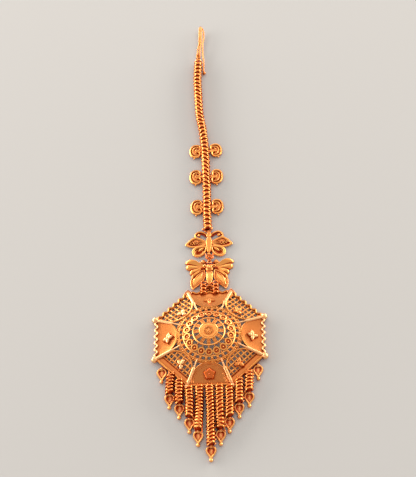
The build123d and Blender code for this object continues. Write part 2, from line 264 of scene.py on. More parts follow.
def sideLoop(keys, side, count):
    # even closed path through keys that are drawn for the right side
    return evenPath(toSide(keys, side), count, loop=True)


def weld(points, faces, marks):
    # points on the same tenth of a micron become one; a quad that loses a corner becomes a triangle
    stepsInMillimetre = 1e4
    grid = np.round(points * stepsInMillimetre).astype(np.int64)
    _, first, index = np.unique(grid, axis=0, return_index=True, return_inverse=True)
    faces = index.reshape(-1)[faces]
    same = faces == np.roll(faces, -1, 1)
    lost = same.sum(1)
    folded = (faces[:, 0] == faces[:, 2]) | (faces[:, 1] == faces[:, 3])
    quads = faces[(lost == 0) & ~folded]
    corners = (lost == 1) & ~folded
    triangles = faces[corners][~same[corners]].reshape(-1, 3)
    return points[first], quads.tolist() + triangles.tolist(), marks[first]


def linked(name, data):
    # a new object in the scene, at the origin
    item = bpy.data.objects.new(name, data)
    bpy.context.scene.collection.objects.link(item)
    return item


creaseAngle = np.radians(40)  # edges that turn by more are shaded sharp


def addPiece(name, shapes, material, node):
    # one closed mesh of all the shapes, in metres, on the CAD body and in place of its node
    points, faces, marks = weld(*joined(shapes))
    mesh = bpy.data.meshes.new(name)
    mesh.from_pydata((points + medallionMiddle) * millimetre, [], faces)
    # the marks go on as a point attribute that the shading group turns into painted shade
    mesh.attributes.new("hollow", "FLOAT", "POINT").data.foreach_set("value", marks)
    mesh.polygons.foreach_set("use_smooth", np.ones(len(mesh.polygons), bool))
    mesh.set_sharp_from_angle(angle=creaseAngle)
    mesh.materials.append(material)
    piece = linked(name, mesh)
    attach(piece, "root")
    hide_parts(node)


def standing(axes, place):
    # matrix whose columns are an object's three axes and its place in metres
    return Matrix([[*row, spot] for row, spot in zip(np.array(axes).T, place)] + [[0, 0, 0, 1]])


def feed(tree, node, feeds):
    # each input is linked to an output, or given a value
    for key, source in feeds.items():
        if isinstance(source, bpy.types.NodeSocket):
            tree.links.new(source, node.inputs[key])
        else:
            node.inputs[key].default_value = source


def addNode(tree, kind, feeds={}, **settings):
    # a node with its settings and its inputs, handed back as its outputs
    node = tree.nodes.new(kind)
    for key, value in settings.items():
        setattr(node, key, value)
    feed(tree, node, feeds)
    return node.outputs


# Camera, light and floor

view = {
    "rise": 55.361,  # degrees above the floor
    "swing": 5.878,  # degrees round from straight behind the fringe
    "roll": 7.19,
    "distance": 410.0,
    "target": (-0.51, 34.433, 0.0),
    "lens": 105.3,
    "nearest": 0.01,  # metres
}
# Softboxes point at the origin: where each stands and its two sides, in metres, its power and its colour
softboxes = {
    "key": {"place": (-0.80, 0.374, 0.17), "size": (1.6, 0.34), "power": 16.8, "colour": (1.0, 0.97, 0.93)},
    "side": {"place": (0.78, 0.442, 0.17), "size": (1.36, 0.31), "power": 11.6, "colour": (1.0, 0.96, 0.90)},
    "sky": {"place": (0.0, 0.80, 0.80), "size": (1.4, 1.0), "power": 3.7, "colour": (1.0, 0.97, 0.94)},
}
studio = {
    "wall": (0.62, 0.60, 0.58, 1),
    "wallStrength": 1.2,
    "floor": (0.50, 0.485, 0.465, 1),
    "floorRoughness": 0.9,
    "floorHalf": 1.5,  # metres
    "floorHeight": -0.00002,
}


def addCamera():
    # back points from the target to the camera, and the roll turns the other two axes about it
    rise, swing, roll = np.radians([view["rise"], view["swing"], view["roll"]])
    right = np.array([np.cos(swing), np.sin(swing), 0])
    back = np.array([np.sin(swing) * np.cos(rise), -np.cos(swing) * np.cos(rise), np.sin(rise)])
    top = np.cross(back, right)
    axes = (right * np.cos(roll) - top * np.sin(roll), right * np.sin(roll) + top * np.cos(roll), back)
    place = (np.array(view["target"]) + medallionMiddle + back * view["distance"]) * millimetre
    camera = linked("camera", bpy.data.cameras.new("camera"))
    camera.matrix_world = standing(axes, place)
    camera.data.lens = view["lens"]
    camera.data.clip_start = view["nearest"]
    bpy.context.scene.camera = camera


def addLights():
    # every softbox looks back along the line from the origin to its place, with level long sides
    for name, box in softboxes.items():
        lamp = bpy.data.lights.new(name, "AREA")
        lamp.shape = "RECTANGLE"
        lamp.size, lamp.size_y = box["size"]
        lamp.energy = box["power"]
        lamp.color = box["colour"]
        back = unit(np.array(box["place"]))
        right = unit(np.cross((0, 0, 1), back))
        linked(name, lamp).matrix_world = standing((right, np.cross(back, right), back), box["place"])
    world = bpy.data.worlds.new("studio")
    world.use_nodes = True
    feed(world.node_tree, world.node_tree.nodes["Background"],
         {"Color": studio["wall"], "Strength": studio["wallStrength"]})
    bpy.context.scene.world = world
    bpy.context.scene.view_settings.view_transform = "Standard"


def addFloor():
    # one square about the origin
    mesh = bpy.data.meshes.new("floor")
    corners = np.array([(-1, -1), (1, -1), (1, 1), (-1, 1)]) * studio["floorHalf"]
    mesh.from_pydata(lifted(corners, studio["floorHeight"]), [], [(0, 1, 2, 3)])
    material = bpy.data.materials.new("paleFloor")
    material.use_nodes = True
    feed(material.node_tree, material.node_tree.nodes["Principled BSDF"],
         {"Base Color": studio["floor"], "Roughness": studio["floorRoughness"]})
    mesh.materials.append(material)
    floor = linked("floor", mesh)
    floor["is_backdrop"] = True


addCamera()
addLights()
addFloor()
print("camera, lights and floor are set")


# Materials

# Painted shade and grain: points that the ambient occlusion finds shut in, and points with a painted shade
# mark, are coloured towards a deep red gold, which is painted shade for hollows, creases and gaps; the grain
# and the clouds are the metal's own wear and tone
shadeAndGrainLook = {
    "skyRange": (0.32, 0.9),  # share of open sky at which a point counts as shut in and as open
    "skySamples": 8,
    "shutIn": 0.001,  # metres that the walls of a hollow may be apart
    "grainDetail": 3,
    "cloudScale": 260,
    "cloudDetail": 2,
    "cloudRange": (0.86, 1.1),
    "fades": (1.0, 1.45, 1.7),
    # colour of the painted shade
    "hollowGold": (0.36, 0.035, 0.004, 1),
    "hollowRoughness": 0.35,
    "grainRoughness": 0.12,
}


def paintedShadeAndGrainGroup():
    # mask = the larger of a point's painted shade mark and of how shut in it is, both painted shade;
    # colour = from gold to the painted shade gold by mask * fades, times the cloud; roughness = polish +
    # a share of the mask + a share of the grain; height = grain; open = 1 - mask
    group = bpy.data.node_groups.new("shadeAndGrain", "ShaderNodeTree")
    inputs = {"Gold": "Color", "Painted Shade Gold": "Color", "Polish": "Float", "Grain Scale": "Float",
              "Shut In Distance": "Float"}
    outputs = {"Color": "Color", "Roughness": "Float", "Height": "Float", "Open": "Float"}
    for way, sockets in (("INPUT", inputs), ("OUTPUT", outputs)):
        for name, kind in sockets.items():
            group.interface.new_socket(name, in_out=way, socket_type=f"NodeSocket{kind}")

    def add(kind, feeds={}, **settings):
        # a node in this group
        return addNode(group, kind, feeds, **settings)

    look = shadeAndGrainLook
    given = add("NodeGroupInput")
    place = add("ShaderNodeTexCoord")["Object"]
    noise = {"Vector": place, "Scale": given["Grain Scale"], "Detail": look["grainDetail"]}
    grain = add("ShaderNodeTexNoise", noise)["Fac"]
    noise = {"Vector": place, "Scale": look["cloudScale"], "Detail": look["cloudDetail"]}
    cloud = add("ShaderNodeTexNoise", noise)["Fac"]
    mark = add("ShaderNodeAttribute", attribute_name="hollow")["Fac"]
    near = {"Distance": given["Shut In Distance"]}
    # ambient occlusion read as colour: painted shade where walls close round a point
    sky = add("ShaderNodeAmbientOcclusion", near, samples=look["skySamples"])["AO"]
    low, high = look["skyRange"]
    turnedRound = {"Value": sky, "From Min": low, "From Max": high, "To Min": 1, "To Max": 0}
    shutIn = add("ShaderNodeMapRange", turnedRound)["Result"]
    mask = add("ShaderNodeMath", {0: shutIn, 1: mark}, operation="MAXIMUM")["Value"]
    # green and blue fade faster than red, as they do when light goes back and forth between gold walls
    fades = add("ShaderNodeVectorMath", {0: mask, 1: look["fades"]}, operation="MULTIPLY")["Vector"]
    shade = add("ShaderNodeMix", {"Factor": fades, "A": given["Gold"], "B": given["Painted Shade Gold"]},
                data_type="VECTOR", factor_mode="NON_UNIFORM", clamp_factor=True)["Result"]
    low, high = look["cloudRange"]
    clouds = add("ShaderNodeMapRange", {"Value": cloud, "To Min": low, "To Max": high})["Result"]
    colour = add("ShaderNodeVectorMath", {0: shade, "Scale": clouds}, operation="SCALE")["Vector"]
    dulled = {0: mask, 1: look["hollowRoughness"], 2: given["Polish"]}
    dulled = add("ShaderNodeMath", dulled, operation="MULTIPLY_ADD")["Value"]
    worn = {0: grain, 1: look["grainRoughness"], 2: dulled}
    roughness = add("ShaderNodeMath", worn, operation="MULTIPLY_ADD")["Value"]
    bare = add("ShaderNodeMath", {0: 1, 1: mask}, operation="SUBTRACT", use_clamp=True)["Value"]
    add("NodeGroupOutput", {"Color": colour, "Roughness": roughness, "Height": grain, "Open": bare})
    return group


shadeAndGrain = paintedShadeAndGrainGroup()
coatRoughness = 0.16
reliefDepth = 0.00005  # metres


def goldMaterial(name, gold, polish, grainScale, bump, lacquer=0.9):
    # metal in the colour and roughness of the painted shade and grain group, its grain as relief, and lacquer
    # * open as its coat
    material = bpy.data.materials.new(name)
    material.use_nodes = True
    tree = material.node_tree
    effect = addNode(tree, "ShaderNodeGroup", {
        "Gold": gold, "Painted Shade Gold": shadeAndGrainLook["hollowGold"], "Polish": polish, "Grain Scale": grainScale,
        "Shut In Distance": shadeAndGrainLook["shutIn"]}, node_tree=shadeAndGrain)
    relief = addNode(tree, "ShaderNodeBump", {
        "Strength": bump, "Distance": reliefDepth, "Height": effect["Height"]})
    coat = addNode(tree, "ShaderNodeMath", {0: effect["Open"], 1: lacquer}, operation="MULTIPLY")
    feed(tree, tree.nodes["Principled BSDF"], {
        "Base Color": effect["Color"], "Metallic": 1, "Roughness": effect["Roughness"],
        "Coat Weight": coat["Value"], "Coat Roughness": coatRoughness, "Normal": relief["Normal"]})
    return material


# The golds are one metal. Their colours differ where a part looks brighter or darker under these lamps: the
# paler flower, leaf drop and rib golds are painted highlight, and the darker sheet, chain, hook and frame
# wire golds are painted shade
# name, colour, polish, grain scale, strength of the relief and weight of the lacquer
wireGold = goldMaterial("polishedWireGold", (0.96, 0.38, 0.066, 1), 0.24, 3000, 0.15)
sheetGold = goldMaterial("satinSheetGold", (0.68, 0.235, 0.058, 1), 0.26, 6000, 0.3, lacquer=0.15)
# paler copy of the gold: painted highlight on the flowers
petalGold = goldMaterial("paleFlowerGold", (1.0, 0.54, 0.20, 1), 0.26, 4000, 0.2)
stampedGold = goldMaterial("stampedGold", (0.94, 0.36, 0.062, 1), 0.27, 4000, 0.25)
chainGold = goldMaterial("wovenLinkGold", (0.86, 0.28, 0.043, 1), 0.25, 4000, 0.2, lacquer=0.7)
leafGold = goldMaterial("leafDropGold", (1.0, 0.44, 0.105, 1), 0.25, 4000, 0.25)
# darker copy of the gold: painted shade that tones down the hook's highlight
hookGold = goldMaterial("hookWireGold", (0.78, 0.25, 0.045, 1), 0.2, 3000, 0.15, lacquer=0.5)
# darker copy of the gold: painted shade on the frame's wires
frameGold = goldMaterial("frameWireGold", (0.80, 0.30, 0.054, 1), 0.26, 4000, 0.2, lacquer=0.55)
# paler copy of the gold: painted highlight on the ribs
ribGold = goldMaterial("ribGold", (1.0, 0.53, 0.205, 1), 0.28, 4000, 0.2)
print("materials are made")


# Woven chains: each row is two hoops of wire, bowed forwards and backwards, with beads where they meet

upperChain = {
    "route": [(-3.5, 102.0), (-3.7, 95.0), (-3.4, 87.0), (-3.0, 80.0), (-1.9, 73.0), (-1.3, 66.0),
              (-1.0, 58.0), (-0.75, 50.0), (-0.7, 43.0), (-0.5, 37.0)],
    "radius": 1.32,
    "pitch": 1.5,
    "wire": 0.24,
    "slants": (0.0, 0.1, -0.5, -0.8, -0.8, 0.5, -0.3, -0.8, -0.8, 0.3, -0.3, 0.0),
    "rolls": (15, -5, 0, 8, -8, 0, 5, 0, -6, 10),
}
# the beads that close the upper chain off and the two small links that the butterfly hangs by; a link
# is its offset, major radius, wire and normal
upperEnd = {
    "beads": [(-1.85, 37.2, 0.75), (0.6, 37.55, 0.75)],
    "beadRadius": 0.42,
    "links": [((-0.9, 36.35, 0.95), 0.42, 0.16, (0.3, 0.6, 1)),
              ((0.05, 36.5, 1.0), 0.4, 0.16, (-0.3, 0.5, 1))],
}
# the right one of the two wide chains, of the two narrow ones between them and of the bridge's halves
neckChain = {
    "offset": 1.75,
    "ends": (18.2, 14.7),
    "weave": {"radius": 1.0, "pitch": 1.05, "wire": 0.19, "slants": (0.1, -0.1), "rolls": (0, 20)},
    "narrow": [(0.48, 17.6), (0.52, 14.8)],
    "narrowWeave": {"radius": 0.6, "pitch": 0.9, "wire": 0.15, "slants": (0.3, -0.3), "rolls": (30, -20)},
    "bridge": [(0.95, 16.3, 1.0), (0.6, 16.9, 1.4), (0, 17.05, 1.5)],
    "bridgeWire": 0.24,
    # painted shade mark over the whole neck chain
    "tone": 0.25,
}


def jumpRing(place, major, wire, normal=(0, 0, 1), sides=7, points=20):
    # circle of the major radius about the place, in the plane that the normal stands on
    normal = unit(np.array(normal, float))
    first = unit(np.cross(normal, (0.31, 0.17, 0.93) if abs(normal[2]) < 0.9 else (0, 1, 0)))
    second = np.cross(normal, first)
    t = circle(points)[:, None]
    path = np.asarray(place, float) + major * (np.cos(t) * first + np.sin(t) * second)
    return tube(path, wire, sides, normal, loop=True)


def linkRings(place, links):
    # a jump ring for each offset from the place, major radius, wire and normal
    return [jumpRing(place + np.array(offset), major, wire, normal) for offset, major, wire, normal in links]


def hoop(radius, wire, bow):
    # circle of wire round the chain's line that runs ahead by bow * cos(2 * angle from the top)
    t = circle(20)
    up = np.stack((np.sin(t), 0 * t, np.cos(t)), -1)
    path = radius * up + np.stack((0 * t, bow * np.cos(2 * t), 0 * t), -1)
    return tube(path, wire, 6, up, loop=True)


def wovenChain(route, radius, pitch, wire, slants, rolls):
    # rows at even steps along the route, sheared by the slant and rolled about its line
    length = np.sum(np.linalg.norm(np.diff(evenPath(route, 200), axis=0), axis=1))
    rows = max(int(round(length / pitch)), 2)
    line = lifted(evenPath(route, 2 * rows + 1), radius)
    tangent = unit(np.gradient(line, axis=0))
    side = np.cross(tangent, (0, 0, 1))
    up = np.array([[0.0, 0.0, 1.0]])
    share = np.linspace(0, 1, len(line))
    slant = np.interp(share, np.linspace(0, 1, len(slants)), slants)[:, None]
    roll = np.radians(np.interp(share, np.linspace(0, 1, len(rolls)), rolls))[:, None]
    # two hoops bowed against each other meet at the sides, under a bead, and at the top
    quarter = 0.85 * length / rows / 4
    bead = 1.3 * wire
    first = [hoop(radius - wire, wire, -quarter)]
    for end in (-1, 1):
        place = (end * (radius - 0.75 * bead), quarter, 0.25 * radius)
        first.append(ball(place, bead, 8, 1.1, (0.9, 1.1)))
    second = [hoop(radius - 1.2 * wire, 0.9 * wire, quarter),
              ball((0, quarter, radius - 0.8 * wire), 0.95 * wire, 8, 1.0, (1.2, 1.0))]
    # a thin tube along the middle, marked 0.9, is painted shade: a dark core that stands for the shade inside
    # the chain
    shapes = [tube(line[1:-1], radius - 1.9 * wire, 10, tone=0.9)]
    for shape, start in ((joined(first), 0), (joined(second), 1)):
        pick = slice(start, 2 * rows + 1, 2)
        turnSide = side[pick] * np.cos(roll[pick]) + up * np.sin(roll[pick])
        turnUp = up * np.cos(roll[pick]) - side[pick] * np.sin(roll[pick])
        turns = np.stack((turnSide + slant[pick] * tangent[pick], tangent[pick], turnUp), -1)
        shapes.append(copies(shape, turns, line[pick]))
    return shapes


shapes = wovenChain(**upperChain) + linkRings((0, 0, 0), upperEnd["links"])
shapes += [ball(place, upperEnd["beadRadius"], 12) for place in upperEnd["beads"]]
addPiece("wovenUpperChain", shapes, chainGold, "upper_chain")
for side, word in ((-1, "left"), (1, "right")):
    x = side * neckChain["offset"]
    shapes = wovenChain([(x, end) for end in neckChain["ends"]], **neckChain["weave"])
    shapes += wovenChain(toSide(neckChain["narrow"], side), **neckChain["narrowWeave"])
    shapes.append(tube(evenPath(toSide(neckChain["bridge"], side), 12), neckChain["bridgeWire"], 8))
    # the neck chains are painted darker, as painted shade
    shapes = withMoreShade(shapes, neckChain["tone"])
    addPiece(f"wovenNeckChain.{word}", shapes, chainGold, f"neck_chain_{word}")
print("chains are woven")


# Leaf drops

leafDrop = {
    "length": 3.75,
    "halfWidths": [(0.0, 0.34), (0.07, 0.52), (0.18, 0.98), (0.36, 1.2), (0.56, 1.0), (0.76, 0.52),
                   (0.92, 0.17), (1.0, 0.12)],  # at shares of the length from the top
    "rim": 0.27,
    "rimHeight": 0.51,
    "dish": [(1, 0.25), (0.9, 0.4), (0.66, 0.24), (0.36, 0.27), (0.1, 0.35), (0, 0.39)],
    # painted shade in the dish under the rim, one mark for each row of the dish
    "dishMarks": [0, 0.6, 0.85, 0.5, 0.2, 0.15],
    "head": 0.46,
    "bar": (0.3, -0.52, 0.2),  # half length, place along and wire
    "cup": [(0, 0.66), (0.2, 0.64), (0.3, 0.5), (0.3, 0.36), (0.2, 0.24), (0, 0.22)],
    "ball": 0.56,
}


def leafShapes(look):
    # half width is smooth in the distance down from the top; both edges are its plus and its minus
    table = smoothPath(look["halfWidths"], 33)
    right = np.stack((table[:, 1], -table[:, 0] * look["length"]), -1)
    edge = np.concatenate((right[::-1] * (-1, 1), right))
    # the dish closes under the ball at the head and under the cup at the foot
    width = table[:, 1].copy()
    width[[0, -1]] = 0
    dish = look["dish"] + [(-share, height) for share, height in look["dish"][-2::-1]]
    marks = np.array(look["dishMarks"] + look["dishMarks"][-2::-1] + [0, 0, 0])
    rimHeight = look["rimHeight"]
    half, along, wire = look["bar"]
    return [
        tube(lifted(edge, rimHeight), look["rim"], 8),
        blade(lifted(right * (0, 1), 0.0), width, dish, marks),
        ball((0, -0.05, rimHeight), look["head"], 12, 0.9, (1.15, 1.0)),
        tube([(-half, along, rimHeight), (half, along, rimHeight)], wire, 8),
        turned(look["cup"], (0, -look["length"], 0)),
        ball((0, -look["length"] - 0.5, look["ball"]), look["ball"], 16),
    ]


def nodeMiddle(name):
    # middle of a CAD node's box, in millimetres about the medallion's middle
    low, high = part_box(name)
    return (np.array(low) + np.array(high)) / 2 / millimetre - medallionMiddle


def nodeTop(name):
    # middle of the edge of a CAD node's box that is nearest to the hook, on the floor
    low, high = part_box(name)
    return np.array([(low.x + high.x) / 2, high.y, low.z]) / millimetre - medallionMiddle


# Fringe, from the left: each chain's route, how its rows slant and how it is rolled in degrees
fringeRows = [
    ([(-10.75, -11.6), (-10.95, -13.9), (-11.0, -16.8)], (0.2, 0.4), (40, 20)),
    ([(-8.4, -13.6), (-8.45, -16.4), (-8.3, -19.9)], (0.0, 0.3), (10, 35)),
    ([(-5.7, -15.9), (-5.5, -20.2), (-5.5, -24.3)], (0.2, -0.3), (0, 25, 10)),
    ([(-2.9, -15.7), (-2.85, -22.0), (-3.15, -28.2)], (0.2, 0.0, -0.5), (10, 50, 60)),
    ([(-0.1, -15.7), (0.25, -24.5), (0.3, -32.7)], (0.0, 0.8, 0.7, 0.3), (0, 15, 0, 30)),
    ([(2.65, -15.7), (2.75, -22.0), (2.9, -28.1)], (0.0, 0.6, 0.5, -0.4), (5, 0, 40)),
    ([(5.3, -15.9), (5.4, -20.3), (5.3, -24.5)], (0.3, 0.6), (10, 0)),
    ([(8.1, -13.9), (8.1, -16.6), (7.95, -20.2)], (0.3, 0.2), (0, 20)),
    ([(10.8, -11.7), (10.75, -14.1), (10.7, -17.0)], (0.0, 0.4), (30, 0)),
]
fringeWeave = {"radius": 1.29, "pitch": 1.08, "wire": 0.21}
fringeLinks = [((0, 0.35, -0.1), 0.55, 0.17, (0.5, 0.1, 1)), ((-0.25, 0.95, -0.2), 0.5, 0.16, (1, 0.3, 0.4)),
               ((0.45, 0.75, 0.1), 0.42, 0.15, (-0.6, 0.4, 0.8))]

for number, (route, slants, rolls) in enumerate(fringeRows, 1):
    shapes = wovenChain(route, slants=slants, rolls=rolls, **fringeWeave)
    shapes += linkRings((*route[0], fringeWeave["radius"]), fringeLinks)
    addPiece(f"wovenFringeChain.{number}", shapes, chainGold, f"fringe_chain_{number}")

for number in range(1, 12):
    shapes = shifted(leafShapes(leafDrop), nodeTop(f"leaf_drop_{number}"))
    addPiece(f"leafDrop.{number}", shapes, leafGold, f"leaf_drop_{number}")
print("fringe is hung")


# Medallion: points of a side panel are given across its outer edge and in from it

medallion = {
    "cornerRadius": 16.0,
    "cornerHeight": 0.9,
    "cornerBall": 0.93,
    "slope": 20.0,  # degrees
    "arcRadius": 5.4,
    "arcRise": 0.58,
    "band": 1.65,
    "latticePitch": 1.25,
    "latticeWire": 0.25,
    "latticeWeave": 0.05,
    "collarRadius": 8.72,
    "collarBeads": 72,
    # past the collar's radius and height, wire, and how much its beads swell
    "collarRings": [(0.05, -0.02, 0.17, 0.07), (0.45, -0.12, 0.15, 0.0), (-0.1, -0.4, 0.26, 0.0)],
    "rimHeight": 1.15,
    "rimWire": 0.33,
    "wallHeight": 0.58,
    # waves along a side and how far they swing
    "rims": {"deep": (6, 0.75), "scalloped": (6, 0.6), "gentle": (5, 0.4), "straight": (1, 0.0)},
    # each rib's painted shade mark, higher on the ribs that the lamps leave dimmer
    "ribTones": (0.05, 0.2, 0.07, 0.0, 0.0, 0.1, 0.24, 0.14),  # from the right upper rib round by the top
    "tab": [(0, 0.62), (0.55, 0.62), (0.66, 0.5), (0.8, 0.5), (0.88, 0.66), (0.97, 0.6), (1, 0.45),
            (1, -0.5), (0, -0.5)],
    # painted shade mark on the corner tabs
    "tabTone": 0.2,
}
sheet = {
    "middle": (0, 2.4),
    "bed": 0.02,
    "lip": 0.16,
    "dish": 0.1,
    "foot": [(1, -0.28), (0, -0.36)],
    "reeds": (0.46, 0.05),  # pitch and height
    "rings": (0.42, 0.075),
    "ringsFrom": 0.78,  # share of the half round
    # painted shade marks: on the right and left half rounds against the key light, on the reeded bottom panel
    # and on the smooth bands
    "sideShadeTone": 0.14,
    "reedTone": 0.08,
    "bandTone": 0.17,
}
halfSpan = np.radians(22.5)  # half of the angle that a side takes up
sideDistance = medallion["cornerRadius"] * np.cos(halfSpan)
sideHalf = medallion["cornerRadius"] * np.sin(halfSpan)
slopeRise = np.tan(np.radians(medallion["slope"]))
collarHeight = medallion["cornerHeight"] + (sideDistance - medallion["collarRadius"]) * slopeRise


def onPanel(across, inward, lift=0.0):
    # a point of the panel that faces +X: inward moves to the centre and up the slope
    across, inward, lift = np.broadcast_arrays(np.asarray(across, float), inward, lift)
    height = medallion["cornerHeight"] + inward * slopeRise + lift
    return np.stack((sideDistance - inward, across, height), -1)


def arcInward(across):
    # how far in the half round border lies at a place across
    radius = medallion["arcRadius"]
    return medallion["arcRise"] + np.sqrt(np.maximum(radius**2 - np.asarray(across, float) ** 2, 0))


def halfRound(radius, count, start=0.0):
    # places across and inward: straight up from the edge, half a circle and straight down again
    angle = np.linspace(0, np.pi, count)
    across = np.concatenate(([radius], radius * np.cos(angle), [-radius]))
    return across, np.concatenate(([start], medallion["arcRise"] + radius * np.sin(angle), [start]))


def panelBorder(wire, lift, start=0.0):
    # wire just inside the half round
    across, inward = halfRound(medallion["arcRadius"] - wire / 2, 41, start)
    return tube(onPanel(across, inward, lift), wire, 8)


def sheetPanel(reeded, tone=0.0):
    # half round sheet: height = bed + lip * share^4 - dish * (1 - share^2); a reeded one adds a cosine of
    # the place across inside and one of the distance out near the border
    radius = medallion["arcRadius"]
    across, inward = halfRound(radius, 129 if reeded else 49)
    edge = np.linspace(-radius, radius, 80 if reeded else 22)[1:-1]
    outline = np.stack((np.append(across, edge), np.append(inward, 0 * edge)), -1)
    share = np.linspace(0, 1, 40 if reeded else 25)
    height = sheet["bed"] + sheet["lip"] * share**4 - sheet["dish"] * (1 - share**2)
    profile = np.concatenate((np.stack((share, height), -1), sheet["foot"]))
    points, faces, marks = plate(outline, profile, sheet["middle"], tone)
    if reeded:
        out = np.hypot(points[:, 0], np.maximum(points[:, 1] - medallion["arcRise"], 0)) / radius
        onTop = points[:, 2] > sheet["foot"][0][1] / 2
        (pitch, tall), (ringPitch, ringTall) = sheet["reeds"], sheet["rings"]
        rings = ringTall * np.cos(2 * np.pi * radius * out / ringPitch)
        reeds = tall * np.cos(2 * np.pi * points[:, 0] / pitch)
        points[:, 2] += onTop * np.where(out > sheet["ringsFrom"], rings, reeds)
        # the reeded middle is painted a little darker, as painted shade
        marks = marks + sheet["reedTone"] * onTop * (out < sheet["ringsFrom"])
    return onPanel(*points.T), faces, marks


def latticePanel(low):
    # wires up and along the panel, cut off at the border, that go over and under by a cosine of their place
    pitch, weave = medallion["latticePitch"], medallion["latticeWeave"]
    lines = []
    for step in range(-4, 5):
        across = step * pitch
        inward = np.linspace(low, arcInward(across), 28)
        lines.append(onPanel(across, inward, weave * np.cos(np.pi * (inward + across) / pitch)))
    for step in range(1, 5):
        inward = (step + (0.35 if low < 1 else 1.0)) * pitch
        room = medallion["arcRadius"] ** 2 - (inward - medallion["arcRise"]) ** 2
        if room > 0:
            across = np.linspace(-np.sqrt(room), np.sqrt(room), 36)
            lines.append(onPanel(across, inward, -weave * np.cos(np.pi * (across + inward) / pitch)))
    return [tube(line, medallion["latticeWire"], 8, flat=0.8) for line in lines]


def smoothBand(width):
    # flat strip along the outer edge, with a raised line at its inner side
    across = np.linspace(-sideHalf + 0.5, sideHalf - 0.5, 25)
    half = width / 2
    # the strip carries painted shade
    strip = tube(onPanel(across, half, -0.02), half, 12, flat=0.2, square=0.45, tone=sheet["bandTone"])
    return [strip, tube(onPanel(across[2:-2], width, 0.1), 0.18, 8)]


def rimWall(waves, depth):
    # upright wall along the side whose place out is a cosine of the place across, with a wire on top
    across = np.linspace(-sideHalf + 0.25, sideHalf - 0.25, 20 * max(waves, 2) + 1)
    out = depth * (0.5 * np.cos(2 * np.pi * waves * (across / (2 * sideHalf) + 0.5)) - 0.1) - 0.1
    line = onPanel(across, out)[:, :2]
    # the wall under the rim wire is marked 0.55, painted shade
    wall = tube(lifted(line, medallion["wallHeight"]), 0.15, 8, flat=3.4, square=0.4, tone=0.55)
    return [wall, tube(lifted(line, medallion["rimHeight"]), medallion["rimWire"], 9)]


def ribBar(foot, head, tone):
    # flat bar, full width from the corner for two thirds of its length, then half as wide
    share = np.linspace(0, 1, 25)
    path = np.linspace(foot, head, 25)
    wide = 0.24 + 0.24 * np.clip((0.72 - share) * 12, 0, 1)
    return tube(path, wide, 14, flat=0.95, tone=tone)


def roundTheSides(sides):
    # each side's shapes turned to its angle in degrees
    return [shape for angle, parts in sides.items() for shape in shifted(parts, (0, 0, 0), np.radians(angle))]


def medallionSheets():
    # half rounds on four sides and smooth bands on the two lower slanting ones
    # the right and left half rounds carry painted shade
    shadedSide, banded = [sheetPanel(False, sheet["sideShadeTone"])], smoothBand(medallion["band"])
    plain, reeded = [sheetPanel(False)], [sheetPanel(True)]
    return roundTheSides({0: shadedSide, 90: plain, 180: shadedSide, 225: banded, 270: reeded, 315: banded})


def medallionWires():
    # each side's lattice, border and rim, and the collar's rings
    band = medallion["band"]
    plain = [panelBorder(0.17, 0.1)]
    sill = tube(onPanel(np.linspace(-5.4, 5.4, 20), 0.25, 0.0), 0.2)
    pierced = latticePanel(0.15) + [panelBorder(0.26, 0.16), sill] + rimWall(*medallion["rims"]["scalloped"])
    straight = rimWall(*medallion["rims"]["straight"])
    banded = latticePanel(band) + [panelBorder(0.24, 0.14, band)] + straight
    shapes = roundTheSides({
        0: plain, 45: pierced, 90: plain + rimWall(*medallion["rims"]["gentle"]), 135: pierced,
        180: plain, 225: banded, 270: plain + straight, 315: banded})
    count = medallion["collarBeads"]
    for past, above, wire, swell in medallion["collarRings"]:
        radius = medallion["collarRadius"] + past
        path = lifted(oval(count * 6, radius, radius), collarHeight + above)
        shapes.append(tube(path, wire + swell * np.cos(count * circle(count * 6)), 8, loop=True))
    return shapes


def medallionRibs():
    # deep waves on the left and the right, and at each corner a rib to the collar and a ball or a tab
    deep = rimWall(*medallion["rims"]["deep"])
    shapes = roundTheSides({0: deep, 180: deep})
    for step, tone in enumerate(medallion["ribTones"]):
        angle = halfSpan + step * np.pi / 4
        ray = np.array([np.cos(angle), np.sin(angle), 0])
        corner = ray * medallion["cornerRadius"] + (0, 0, medallion["cornerHeight"])
        head = ray * medallion["collarRadius"] + (0, 0, collarHeight + 0.1)
        shapes.append(ribBar(corner - 0.3 * ray + (0, 0, 0.34), head, tone))
        if step in (1, 2):
            shapes.append(cornerTab(corner, angle - halfSpan * (1 if step == 1 else -1)))
        else:
            shapes.append(ball(corner + ray * 0.62 + (0, 0, 0.1), medallion["cornerBall"], 20))
    return shapes


def cornerTab(place, angle):
    # rounded square, upright, turned with the side
    outline = 0.85 * squared(oval(32, 1, 1), 0.3)
    return copies(plate(outline, medallion["tab"], tone=medallion["tabTone"]), turnAbout(angle), [place])


addPiece("octagonSheets", medallionSheets(), sheetGold, "medallion_frame")
addPiece("octagonWires", medallionWires(), frameGold, "medallion_frame")
addPiece("octagonRibs", medallionRibs(), ribGold, "medallion_frame")
print("medallion frame is soldered")


# Dome: rings, loops and spokes of wire that lie on a bell from the apex to the foot

